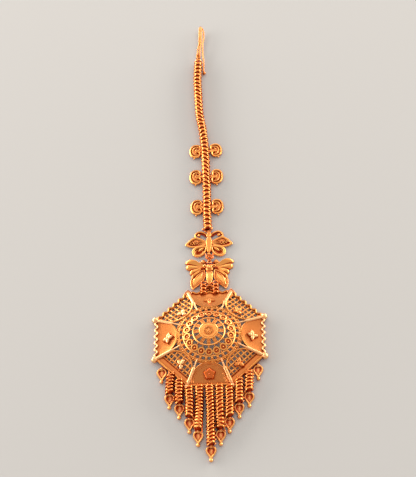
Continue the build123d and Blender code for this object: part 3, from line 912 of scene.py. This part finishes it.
_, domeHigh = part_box("rosette_dome")
dome = {
    "apex": domeHigh.z / millimetre - 0.22,
    "foot": 8.5,
    "footHeight": 3.1,
    "rings": ((8.4, 0.2, 0.02), (7.2, 0.22, 0.05), (4.32, 0.2, 0.06), (2.5, 0.24, 0.0)),  # radius, wire, lift
    "bars": 30,
    "bar": {"wire": 0.42, "lift": -0.04, "flat": 0.5, "square": 0.7},
    "barBead": (0.2, 0.3),  # lift and radius
    "loops": 18,
    "loopRing": 6.03,
    "loopRadius": 0.82,
    "loop": {"wire": 0.23, "lift": 0.18, "square": 0.8, "loop": True},
    "stay": {"wire": 0.2, "lift": -0.05, "sides": 6},
    "cup": [(0, 0.0), (0.5, 0.02), (0.72, 0.1), (0.72, -0.2), (0, -0.25)],
    "loopBeads": ((0.0, 0.26), (0.78, 0.24)),  # how far out of the loops' ring, and radius
    "spokes": 12,
    # the spokes carry a little painted shade
    "spoke": {"wire": 0.42, "lift": -0.1, "flat": 0.3, "square": 0.6, "tone": 0.1},
    "spokeEdge": {"wire": 0.14, "lift": 0.03, "sides": 6},
    "spokeHalf": 0.38,
}
domeRise = dome["apex"] - dome["footHeight"]


def onDome(radius, angle, lift=0.0):
    # the point at a plan radius and angle on the bell, moved out along the normal by lift, and the normal:
    # height = foot + rise * (0.5 + 0.5 * cos(pi * share^1.6)) for the share of the foot's radius
    radius, angle, lift = np.broadcast_arrays(np.asarray(radius, float), angle, lift)
    share = np.minimum(radius / dome["foot"], 1)
    height = dome["footHeight"] + domeRise * (0.5 + 0.5 * np.cos(np.pi * share**1.6))
    fall = domeRise * 0.8 * np.pi * share**0.6 * np.sin(np.pi * share**1.6) / dome["foot"]
    normal = unit(np.stack((fall * np.cos(angle), fall * np.sin(angle), 1 + 0 * fall), -1))
    place = np.stack((radius * np.cos(angle), radius * np.sin(angle), height), -1)
    return place + normal * lift[..., None], normal


def domeWire(radius, angle, wire, lift=0.0, **look):
    # wire through points of the bell, its flat side on the bell
    path, normal = onDome(radius, angle, lift)
    return tube(path, wire, up=normal, **look)


def domeTurns(angle, radius):
    # for each angle, the turn that lays x along the radius, y along the ring and z on the normal
    _, normal = onDome(radius, angle)
    along = np.stack((-np.sin(angle), np.cos(angle), 0 * angle), -1)
    return np.stack((np.cross(along, normal), along, normal), -1)


def rosetteDome():
    # four rings; between the first two bars with beads, between the next two loops round cups, with beads
    # beside them, and between the last two flat spokes with a wire along each edge
    shapes = []
    for radius, wire, lift in dome["rings"]:
        turn = circle(120 if radius > dome["rings"][3][0] else 60)
        shapes.append(domeWire(radius, turn, wire, lift, loop=True))
    (outer, *_), (inner, *_), (innerRing, *_), (bossRing, *_) = dome["rings"]
    angles = circle(dome["bars"])
    shapes += [domeWire(np.linspace(inner, outer, 4), angle, **dome["bar"]) for angle in angles]
    lift, size = dome["barBead"]
    shapes.append(beads(onDome((inner + outer) / 2, angles, lift)[0], size))

    middle, reach = dome["loopRing"], dome["loopRadius"]
    halfStep = np.pi / dome["loops"]
    angles = circle(dome["loops"]) + halfStep
    t = circle(22)
    for angle in angles:
        radius, turn = middle + reach * np.cos(t), angle + reach * np.sin(t) / middle
        shapes.append(domeWire(radius, turn, **dome["loop"]))
        shapes.append(domeWire(np.linspace(innerRing, middle - reach, 4), angle, **dome["stay"]))
    # the cups inside the loops carry painted shade
    eye = joined([turned(dome["cup"], sides=14, tone=0.5), ball((0, 0, 0.08), 0.33, 10, 0.9)])
    shapes.append(copies(eye, domeTurns(angles, middle), onDome(middle, angles)[0]))
    for out, size in dome["loopBeads"]:
        shapes.append(beads(onDome(middle + out, angles + halfStep, 0.14)[0], size))

    span = np.linspace(bossRing - 0.2, innerRing, 7)
    half = dome["spokeHalf"]
    for angle in circle(dome["spokes"]) + np.pi / 2:
        shapes.append(domeWire(span, angle, **dome["spoke"]))
        shapes += [domeWire(span, angle + edge / span, **dome["spokeEdge"]) for edge in (-half, half)]
        shapes += [ball(onDome(radius, angle, 0.02)[0], 0.17, 7) for radius in span[2:-1:2]]
    return shapes


addPiece("rosetteDome", rosetteDome(), wireGold, "rosette_dome")


boss = {
    "profile": [(0, 0.3), (0.9, 0.28), (1.06, 0.2), (1.16, 0.26), (1.24, 0.36), (1.33, 0.39), (1.42, 0.36),
                (1.5, 0.3), (1.6, 0.29), (1.95, 0.3), (2.2, 0.28), (2.32, 0.2), (2.36, 0.08), (2.2, -0.1),
                (0, -0.1)],
    # painted shade marks for each row of the profile, darkest in the dip of the cup ring
    "marks": (0.2, 0.3, 0.9, 0.6, 0.35, 0.3, 0.35, 0.3, 0, 0, 0, 0, 0, 0, 0),
    # foot, head, wire and number
    "rays": [((1.62, 0, 0.29), (2.24, 0, 0.27), 0.07, 36), ((0.72, 0, 0.34), (1.16, 0, 0.38), 0.12, 18)],
    "petals": 6,
}


def centreBoss():
    # turned disc with a low cup ring, rays on the rim and round the inside of the cup, and a small rosette
    shapes = [turned(boss["profile"], sides=64, tone=boss["marks"])]
    for foot, head, wire, count in boss["rays"]:
        shapes.append(wheel(tube([foot, head], wire, 6), circle(count)))
    shapes.append(wheel(ball((0.36, 0, 0.3), 0.2, 10, 0.7, (1.3, 0.9)), circle(boss["petals"])))
    shapes.append(ball((0, 0, 0.34), 0.18, 12))
    flush, _ = onDome(2.36, 0.0)
    return shifted(shapes, (0, 0, flush[2] - 0.06))


addPiece("centreBoss", centreBoss(), wireGold, "centre_boss")


# Flowers: the side each sits on and the way its petals point, in degrees from +X, how much painted shade
# it has, how far it is moved over its panel, and how far it is sunk in and how wide its petals are where they
# differ
flowers = {
    "right": {"side": 0, "petals": (100, 165, 265, 355), "tone": 0.0, "move": (0.0, -0.3)},
    "upper_right": {"side": 45, "petals": (45, 110, 200, 300), "tone": 0.2, "move": (0.0, -0.5)},
    "top": {"side": 90, "petals": (195, 270, 345), "tone": 0.28, "move": (0.0, 0.0), "sunk": 0.44},
    "upper_left": {"side": 135, "petals": (75, 190, 325), "tone": 0.0, "move": (0.4, -0.75)},
    "left": {"side": 180, "petals": (15, 78, 204, 266), "tone": 0.0, "move": (0.45, -0.35)},
    "lower_left": {"side": 225, "petals": (45, 125, 270), "tone": 0.0, "move": (0.2, -0.7)},
    "bottom": {"side": 270, "petals": (18, 90, 162, 234, 306), "tone": 0.5, "move": (0.0, 0.0), "sunk": 0.22,
               "wide": 0.9},
    "lower_right": {"side": 315, "petals": (90, 210, 330), "tone": 0.22, "move": (0.15, -0.9)},
}
petal = {
    "reach": 1.62,
    "wide": 0.54,
    "crown": 0.44,
    "profile": [(0, 1), (0.4, 0.98), (0.66, 0.88), (0.86, 0.64), (0.97, 0.3), (1, 0)],  # height in crowns
    "foot": [(1, -0.25), (0, -0.3)],
    "sunk": 0.1,
}


def flowerShapes(angles, tone, wide):
    # petal half width = wide * sin(t) * (1 - 0.5 * cos(t))^0.8, place out = reach / 2 * (1 + cos(t)),
    # with its outermost point drawn out a little
    t = circle(28)
    reach = petal["reach"]
    out = reach * (0.5 + 0.5 * np.cos(t)) + 0.15 * (t == 0)
    outline = np.stack((out, wide * np.sin(t) * (1 - 0.5 * np.cos(t)) ** 0.8), -1)
    profile = np.concatenate((np.array(petal["profile"]) * (1, petal["crown"]), petal["foot"]))
    shapes = [wheel(plate(outline, profile, (reach * 0.45, 0), tone), np.radians(angles))]
    shapes.append(ball((0, 0, 0.34), 0.26, 12, 0.8, tone=tone))
    # the hidden ball under the petals carries at least 0.4 painted shade
    shapes.append(ball((0, 0, -0.12), 0.5, 14, 0.6, tone=max(tone, 0.4)))
    return shapes


slope = np.radians(medallion["slope"])
for word, look in flowers.items():
    look = {**petal, **look}
    angle = np.radians(look["side"])
    along = np.array([-np.sin(angle), np.cos(angle), 0])
    normal = np.array([np.cos(angle) * np.sin(slope), np.sin(angle) * np.sin(slope), np.cos(slope)])
    lay = np.stack((along, np.cross(normal, along), normal), -1)
    move = np.array([*look["move"], 0.0])
    move[2] = -move @ normal / normal[2]
    place = nodeMiddle(f"flower_{word}") + move - normal * look["sunk"]
    shapes = flowerShapes(np.array(look["petals"]) - look["side"] - 90, look["tone"], look["wide"])
    shapes = [copies(shape, lay, [place]) for shape in shapes]
    # flowers with little painted shade get the paler gold, a painted highlight
    gold = petalGold if look["tone"] < 0.2 else wireGold
    addPiece(f"flower.{word}", shapes, gold, f"flower_{word}")
print("dome, boss and flowers are set")


# Hair hook

hook = {
    "collar": (-3.5, 104.6, 0.0),
    "pin": [(-0.25, -0.3, 1.3), (-0.12, 2.9, 1.5), (0.28, 5.2, 1.6), (0.32, 8.1, 1.7), (0.36, 10.9, 1.7),
            (0.47, 12.1, 1.6), (0.68, 12.6, 1.5), (0.89, 12.1, 1.6), (0.94, 10.9, 1.7), (0.88, 8.1, 1.7),
            (0.82, 5.4, 1.6), (0.55, 3.2, 1.5), (0.3, -0.3, 1.3)],
    "pinWire": 0.26,
    "back": [(0.72, 12.55, 1.4), (1.2, 12.4, 1.0), (1.6, 11.3, 0.6), (1.68, 9.8, 0.4), (1.62, 8.0, 0.32),
             (1.36, 6.3, 0.3), (1.34, 3.3, 0.3), (1.5, 0.5, 0.3), (1.7, -1.8, 0.3), (1.62, -4.6, 0.3),
             (1.8, -6.4, 0.3)],
    "backWire": 0.22,
    "tip": ((0.05, -0.1, 0.27), 0.54),
    "coil": (6, 0.55, 1.5, 0.42, 0.13),  # turns, half width, length, half height and wire
    "links": [((0, -1.15, 1.3), 0.5, 0.17, (1, 0.1, 0.1))],
    "ringLinks": [((0, 0, 0), 0.66, 0.17, (0.1, 0, 1)), ((0.05, -0.9, 0), 0.5, 0.17, (1, 0, 0.2))],
}


def hairHook():
    # the two wires, a ball at the back one's tip and wire wound round both legs: a helix about the collar
    collar = np.array(hook["collar"])
    back = evenPath(np.array(hook["back"]) + collar, 110)
    turns, wide, length, tall, wire = hook["coil"]
    turn = np.linspace(0, 2 * np.pi * turns, 150)
    coil = np.stack((wide * np.cos(turn), length * (turn / turn[-1] - 0.5), 1.3 + tall * np.sin(turn)), -1)
    offset, radius = hook["tip"]
    return [
        tube(evenPath(np.array(hook["pin"]) + collar, 170), hook["pinWire"], 10, (0.1, 0.05, 1)),
        tube(back, hook["backWire"], 10, (0.94, 0.1, -0.33)),
        tube(coil + collar, wire, 6, (0, 1, 0)),
        ball(back[-1] + offset, radius, 16),
        *linkRings(collar, hook["links"]),
    ]


addPiece("hairHook", hairHook(), hookGold, "hair_hook")
addPiece("hookRing", linkRings(nodeMiddle("hook_ring"), hook["ringLinks"]), wireGold, "hook_ring")


# Scrolls: a thick wire round the outside whose ends curl in round two eyes, a second one inside it,
# and a flat stem from the chain; drawn for the right side, with the chain at x = 0

scrollLook = {
    "length": 2.75,  # half of it
    "wire": 0.33,
    "outer": [(1.62, 0.3), (0.8, 0.32), (0.36, 0.95), (0.55, 1.95), (1.45, 2.42), (2.6, 2.15), (3.25, 1.15),
              (3.42, 0.0)],
    "innerWire": 0.27,
    "inner": [(0.95, 1.55), (1.6, 1.68), (2.25, 1.3), (2.58, 0.6), (2.66, 0.0)],
    "middle": 1.9,
    "bed": [(0, 0.5), (0.55, 0.5), (0.8, 0.46), (1, 0.46), (1, 0.02), (0, 0.02)],
    # painted shade marks for each row of the bed
    "bedMarks": (0.1, 0.1, 0.35, 0.35, 0.2, 0),
    "eye": (1.12, 0.93),
    "pit": [(0, 0.52), (0.4, 0.53), (0.4, 0.3), (0, 0.3)],
    "foot": [(1.9, -2.55), (2.0, -3.0)],
}


def scrollShapes(side, length):
    # flat oval bed, two bent wires, a tapering stem, a pit and a ring at each eye, and a stub at the foot
    look = scrollLook
    stretch = np.array([side, length / look["length"]])
    x = look["middle"]

    def bent(keys):
        # the upper half and its mirror image below, as one path
        whole = np.array(keys + [(across, -along) for across, along in keys[-2::-1]])
        return evenPath(whole * stretch, 12 * len(whole))

    outline = (oval(48, 1.5, 2.35) + (x, 0)) * stretch
    stem = np.linspace((-0.2 * side, 0), (1.0 * side, 0), 8)
    shapes = [
        plate(outline, look["bed"], (x * side, 0), look["bedMarks"]),
        tube(lifted(bent(look["outer"]), 0.6), look["wire"], 9),
        tube(lifted(bent(look["inner"]), 0.58), look["innerWire"], 8),
        tube(lifted(stem, 0.66), np.linspace(0.5, 0.3, 8), 10, flat=0.45, square=0.7),
        tube(lifted(np.array(look["foot"]) * stretch, 0.5), 0.26, 8),
    ]
    for end in (-1, 1):
        eye = np.array(look["eye"]) * (1, end) * stretch
        # each eye's pit is painted fully dark, painted shade that stands for the hole in the eye
        shapes += [turned(look["pit"], (*eye, 0.0), 14, tone=1.0), jumpRing((*eye, 0.56), 0.5, 0.14)]
    return shapes


# turn of the left and the right scroll in degrees, and how far each is moved across
scrollRows = {
    "upper": ((-4, 12), (0.3, 0.05)),
    "middle": ((3, -3), (0.05, -0.1)),
    "lower": ((0, 2), (0.2, -0.25)),
}
for row, looks in scrollRows.items():
    for side, word, turn, move in zip((-1, 1), ("left", "right"), *looks):
        low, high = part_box(f"scroll_{row}_{word}")
        length = (high.y - low.y) / 2 / millimetre
        inner = low.x if side > 0 else high.x
        place = np.array([inner / millimetre + move, (low.y + high.y) / 2 / millimetre, 0]) - medallionMiddle
        shapes = shifted(scrollShapes(side, length), place, np.radians(turn))
        addPiece(f"scroll.{row}.{word}", shapes, wireGold, f"scroll_{row}_{word}")
print("hook and scrolls are bent")


# Filigree butterfly: places are across from its middle line, mirrored for the left, and along Y

filigree = {
    "middle": -0.2,
    "body": [(36.4, 0.3), (35.9, 0.5), (35.2, 0.64), (34.5, 0.62), (33.95, 0.6), (33.4, 0.86), (32.6, 0.93),
             (31.6, 0.88), (30.4, 0.7), (29.4, 0.52), (28.9, 0.36)],  # place along and half width
    "bodyTop": [(0, 1.3), (0.6, 1.27), (0.82, 1.17), (0.94, 1.0), (1, 0.75), (0.97, 0.15), (0, 0.15)],
    # painted shade that dims the body's flat top
    "bodyTone": 0.26,
    "sunk": [(0, 0.28), (0.8, 0.28), (1, 0.3), (1, 0.1), (0, 0.1)],
    "feeler": [(0.45, 35.2), (1.4, 36.0), (2.65, 36.4), (3.65, 35.95), (4.05, 35.15), (3.7, 34.4)],
    "feelerBead": (2.9, 35.15, 0.6),
    "upperWing": [(0.7, 32.5), (1.3, 33.1), (2.4, 33.8), (4.0, 34.35), (5.4, 33.5), (6.5, 32.3),
                  (6.72, 32.05), (6.45, 31.85), (5.6, 31.4), (4.0, 31.15), (2.5, 31.4), (1.1, 31.9)],
    "upperHeart": (4.3, 32.55),
    "flutes": (-0.45, 0.0, 0.45),
    "lowerWing": [(0.9, 31.1), (2.3, 31.15), (3.8, 30.75), (4.6, 29.6), (4.05, 28.2), (2.6, 28.05),
                  (1.45, 28.95), (0.85, 30.1)],
    "lowerHeart": (2.9, 29.5),
    "petal": [(1.0, 31.0), (2.0, 31.0), (2.95, 30.3), (3.0, 29.7), (2.2, 29.65), (1.3, 30.3)],
    "petalHeart": (1.95, 30.35),
    "petalTop": [(0, 0.98), (0.4, 0.9), (0.75, 0.66), (1, 0.4), (1, 0.2), (0, 0.2)],
    "granule": 0.23,
}


def inset(outline, share, core):
    # the outline drawn in towards the core, to a share of its size
    return core + (outline - core) * share


def darkened(shape, middle, reach):
    # painted shade mark = 1.7 - the squared distance from the middle, counted in reaches, kept from 0 to 1
    points, faces, _ = shape
    away = (points[:, :2] - middle) / np.array(reach)
    return points, faces, np.clip(1.7 - np.sum(away**2, -1), 0, 1)


def filigreeButterfly():
    # flat topped body, and on either side a feeler with a strip inside it, and two wired wings with sunken
    # plates, the upper one with flutes from its root and granules in two rings about its heart
    look = filigree
    body = smoothPath(look["body"], 70)
    edge, line = body[:, ::-1], body[:, ::-1] * (0, 1)
    outline, core = np.concatenate((edge, edge[::-1] * (-1, 1))), np.concatenate((line, line[::-1]))
    shapes = [plate(outline, look["bodyTop"], core, look["bodyTone"]),
              ball((0, 36.25, 0.8), 0.55, 16), ball((0, 28.5, 0.75), 0.42, 16)]
    grains = oval(9, 1.05, 0.55)
    grains = np.concatenate((grains, 0.38 * grains[::3], [(0, 0)])) @ [[1, 0.1], [0.1, 1]]
    for side in (-1, 1):
        feeler = evenPath(toSide(look["feeler"], side), 56)
        across = unit(np.gradient(feeler, axis=0))[:, ::-1] * (1, -1) * side
        strip = feeler[3:-14] + across[3:-14] * 0.45
        upper, lower = sideLoop(look["upperWing"], side, 110), sideLoop(look["lowerWing"], side, 90)
        heart, lowHeart = toSide(look["upperHeart"], side), toSide(look["lowerHeart"], side)
        inner = inset(lower, 0.58, lowHeart + (side * 0.2, -0.15))
        shapes += [
            tube(lifted(feeler, 0.55), 0.3, 9),
            # the strip inside the feeler is painted dark, painted shade for the feeler's opening
            tube(lifted(strip, 0.3), 0.3, 10, flat=0.4, square=0.6, tone=0.85),
            ball(toSide(look["feelerBead"], side), 0.46, 16),
            ball((side * 0.47, 34.6, 1.08), 0.36, 12),
            # the sunken plates are painted darker towards their hearts and the inner wires a little, as
            # painted shade
            darkened(plate(upper, look["sunk"], heart), heart, (2.0, 1.0)),
            tube(lifted(upper, 0.56), 0.31, 10, loop=True, flat=0.75),
            tube(lifted(inset(upper, 0.87, heart), 0.42), 0.17, 7, loop=True, tone=0.1),
            beads(lifted(heart + grains, 0.46), look["granule"]),
            darkened(plate(lower, look["sunk"], lowHeart), lowHeart + (side * 0.4, -0.2), (1.5, 1.1)),
            tube(lifted(lower, 0.58), 0.38, 10, loop=True, flat=0.75),
            tube(lifted(inner, 0.32), 0.16, 7, loop=True, tone=0.2),
            plate(sideLoop(look["petal"], side, 48), look["petalTop"], toSide(look["petalHeart"], side)),
        ]
        for rise in look["flutes"]:
            keys = [(0.8, 32.3 + 0.4 * rise), (1.8, 32.4 + 0.9 * rise), (2.9, 32.45 + 1.3 * rise)]
            line = lifted(evenPath(toSide(keys, side), 16), np.linspace(0.62, 0.4, 16))
            shapes.append(tube(line, np.linspace(0.24, 0.14, 16), 8))
    return shifted(shapes, (look["middle"], 0, 0))


addPiece("filigreeButterfly", filigreeButterfly(), wireGold, "upper_butterfly")

# ring between the butterflies, for the right side: its links, and the arm that holds it to the wings
butterflyRing = {
    "ring": (0.85, 0.2, (0.05, 0.1, 1), 8, 32),
    "middleLink": ((0.1, 0.0, 0.15), 0.42, 0.15, (0.4, 1, 0.7)),
    "arm": [(0.75, 0.2, 0.0), (1.05, 0.65, 0.0), (1.05, 1.1, 0.0)],
    "armWire": 0.17,
    # painted shade mark that paints the ring dark red, as in shade
    "tone": 0.45,
}
place = nodeMiddle("butterfly_ring")
links = [butterflyRing["middleLink"]]
links += [((side * 0.55, 0.1, -0.15), 0.5, 0.2, (side * 0.4, 0.2, 1)) for side in (-1, 1)]
shapes = [jumpRing(place, *butterflyRing["ring"])] + linkRings(place, links)
for side in (-1, 1):
    arm = evenPath(toSide(butterflyRing["arm"], side), 12) + place
    shapes.append(tube(arm, butterflyRing["armWire"], 7))
addPiece("butterflyRing", withMoreShade(shapes, butterflyRing["tone"]), wireGold, "butterfly_ring")


# Stamped butterfly: each upper wing is one fluted fan, each lower wing a rimmed leaf.
# A fan's outline has a third number, 1 on the crest of a lobe and 0 in the valley beside it

stamped = {
    "middle": -0.05,
    "fan": [(1.5, 24.7, 0.3), (3.3, 25.8, 0.5), (4.6, 26.6, 0.9), (5.9, 26.85, 1.0), (6.85, 26.3, 0.8),
            (7.1, 25.6, 0.4), (6.45, 25.1, 0.0), (6.85, 24.6, 0.8), (6.8, 23.8, 0.8), (6.2, 23.25, 0.3),
            (5.35, 22.95, 0.0), (5.8, 22.45, 0.8), (5.6, 21.7, 0.8), (5.0, 21.3, 0.0), (5.3, 20.8, 0.7),
            (5.0, 20.2, 0.4), (3.6, 21.5, 0.0), (1.6, 23.2, 0.0)],
    "fanRoot": (1.9, 24.1),
    "fanHeights": (0.12, 0.42, 0.95),  # foot, low and tall
    "leaf": [(1.5, 23.0), (2.7, 22.5), (4.0, 21.4), (5.1, 20.05), (5.35, 18.9), (5.15, 17.4), (4.7, 16.55),
             (4.3, 17.0), (3.5, 17.65), (2.4, 18.7), (1.7, 19.6), (1.3, 20.9), (1.4, 22.2)],
    "leafHeart": (3.5, 19.8),
    "leafTop": [(0, 0.95), (0.35, 0.9), (0.65, 0.72), (0.8, 0.52), (0.87, 0.5), (1, 0.6), (1, 0.12),
                (0, 0.12)],
    # painted shade marks for each row of the leaf's top
    "leafMarks": (0, 0, 0, 0.35, 0.6, 0, 0, 0),
    "veins": (-0.5, 0.35),
    "abdomen": [(0.0, 22.4), (0.95, 22.35), (1.08, 21.2), (1.0, 19.9), (0.7, 18.5), (0.0, 17.3), (-0.7, 18.5),
                (-1.0, 19.9), (-1.08, 21.2), (-0.95, 22.35)],
    "abdomenHeart": (0, 20.4),
    "abdomenTop": [(0, 1.42), (0.3, 1.38), (0.52, 1.27), (0.68, 1.14), (0.76, 1.16), (0.86, 1.1), (0.95, 0.9),
                   (1, 0.6), (1, 0.15), (0, 0.15)],
    # painted shade marks for each row of the abdomen's top
    "abdomenMarks": (0, 0, 0, 0.4, 0.1, 0, 0, 0, 0, 0),
    "shouldersHeart": (0, 23.75),
    "shouldersTop": [(0, 1.36), (0.35, 1.3), (0.6, 1.12), (0.82, 0.85), (1, 0.5), (1, 0.15), (0, 0.15)],
    "petal": [(0.95, 25.5), (1.25, 26.3), (1.85, 26.85), (2.5, 26.3), (3.0, 25.6), (2.0, 25.1)],
    "petalHeart": (1.9, 25.8),
    "petalTop": [(0, 0.85), (0.5, 0.78), (0.85, 0.5), (1, 0.3), (1, 0.1), (0, 0.1)],
    "eye": (1.3, 24.1, 1.0),
    "pits": [(1.15, 25.35, 0), (2.1, 23.5, 0)],
    "pit": [(0, 0.76), (0.34, 0.76), (0.34, 0.3), (0, 0.3)],
}


def flutedFan(keys, root, foot, low, tall):
    # plan = root + share * (outline - root); height = foot + low + tall * crest * swell, where the lobes
    # swell as (1.15 * share)^1.5 and then, past share 0.6, round off like a quarter of a circle
    line = evenPath(keys, 220, loop=True)
    outline, crest = line[:, :2], np.clip(line[:, 2], 0, 1) ** 0.6
    share = np.concatenate((np.sin(np.linspace(0, np.pi / 2, 30)), [1.0, 0.0]))[:, None]
    swell = np.minimum(1.15 * share, 1) ** 1.5
    over = np.clip((share - 0.6) / 0.4, 0, 1)
    height = foot + (low + tall * crest * swell) * np.sqrt(np.maximum(1 - over**2, 0.02))
    # painted shade in the valleys between the lobes
    marks = np.clip(0.75 - crest * 1.5, 0, 1) * np.clip(share * 3, 0, 1) + 0 * height
    height[-2:], marks[-2:] = 0.1, 0
    points = np.concatenate((root + share[..., None] * (outline - root), height[..., None]), -1)
    return points.reshape(-1, 3), gridFaces(len(share), len(outline))[:, ::-1], marks.reshape(-1)


def mirrored(shape, side):
    # the shape on the right or, for a side of -1, its mirror image with its faces turned back outwards
    points, faces, marks = shape
    return points * (side, 1, 1), faces if side > 0 else faces[:, ::-1], marks


def stampedButterfly():
    # ridged abdomen, oval shoulders and a head, and on either side a fluted fan, a rimmed leaf with two
    # veins, a petal over the fan's root, and an eye
    look = stamped
    abdomen = sideLoop(look["abdomen"], 1, 90)
    shoulders = oval(60, 1.25, 1.55) + look["shouldersHeart"]
    shapes = [
        plate(abdomen, look["abdomenTop"], look["abdomenHeart"], look["abdomenMarks"]),
        # the shoulders, the petals and a ball carry a little painted shade
        plate(shoulders, look["shouldersTop"], look["shouldersHeart"], 0.2),
        ball((0, 26.2, 0.9), 0.5, 16),
    ]
    fan = flutedFan(look["fan"], np.array(look["fanRoot"]), *look["fanHeights"])
    for side in (-1, 1):
        leaf, petalLine = sideLoop(look["leaf"], side, 100), sideLoop(look["petal"], side, 48)
        eye = toSide(look["eye"], side)
        shapes += [
            mirrored(fan, side),
            plate(leaf, look["leafTop"], toSide(look["leafHeart"], side), look["leafMarks"]),
            tube(lifted(leaf, 0.58), 0.19, 9, loop=True),
            plate(petalLine, look["petalTop"], toSide(look["petalHeart"], side), 0.15),
            ball((side * 0.34, 23.5, 1.24), 0.42, 12),
            ball((side * 0.42, 25.3, 1.0), 0.36, 12, tone=0.15),
            jumpRing(eye, 0.4, 0.17, (0.3 * side, 0, 1)),
            # the ball inside each eye ring is painted dark, painted shade for the eye
            ball(eye - (0, 0, 0.1), 0.24, 10, tone=0.9),
        ]
        for bend in look["veins"]:
            keys = [(1.9, 22.2), (3.3 + bend, 20.4 + bend), (4.6 + 0.3 * bend, 17.8)]
            vein = lifted(evenPath(toSide(keys, side), 24), 0.62 + 0.3 * np.sin(np.linspace(0, np.pi, 24)))
            shapes.append(tube(vein, 0.14, 7))
        # the pits are painted fully dark, painted shade that stands for holes
        shapes += [turned(look["pit"], place, 12, tone=1.0) for place in toSide(look["pits"], side)]
    return shifted(shapes, (look["middle"], 0, 0))


addPiece("stampedButterfly", stampedButterfly(), stampedGold, "lower_butterfly")
print("butterflies are set")

low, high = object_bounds()
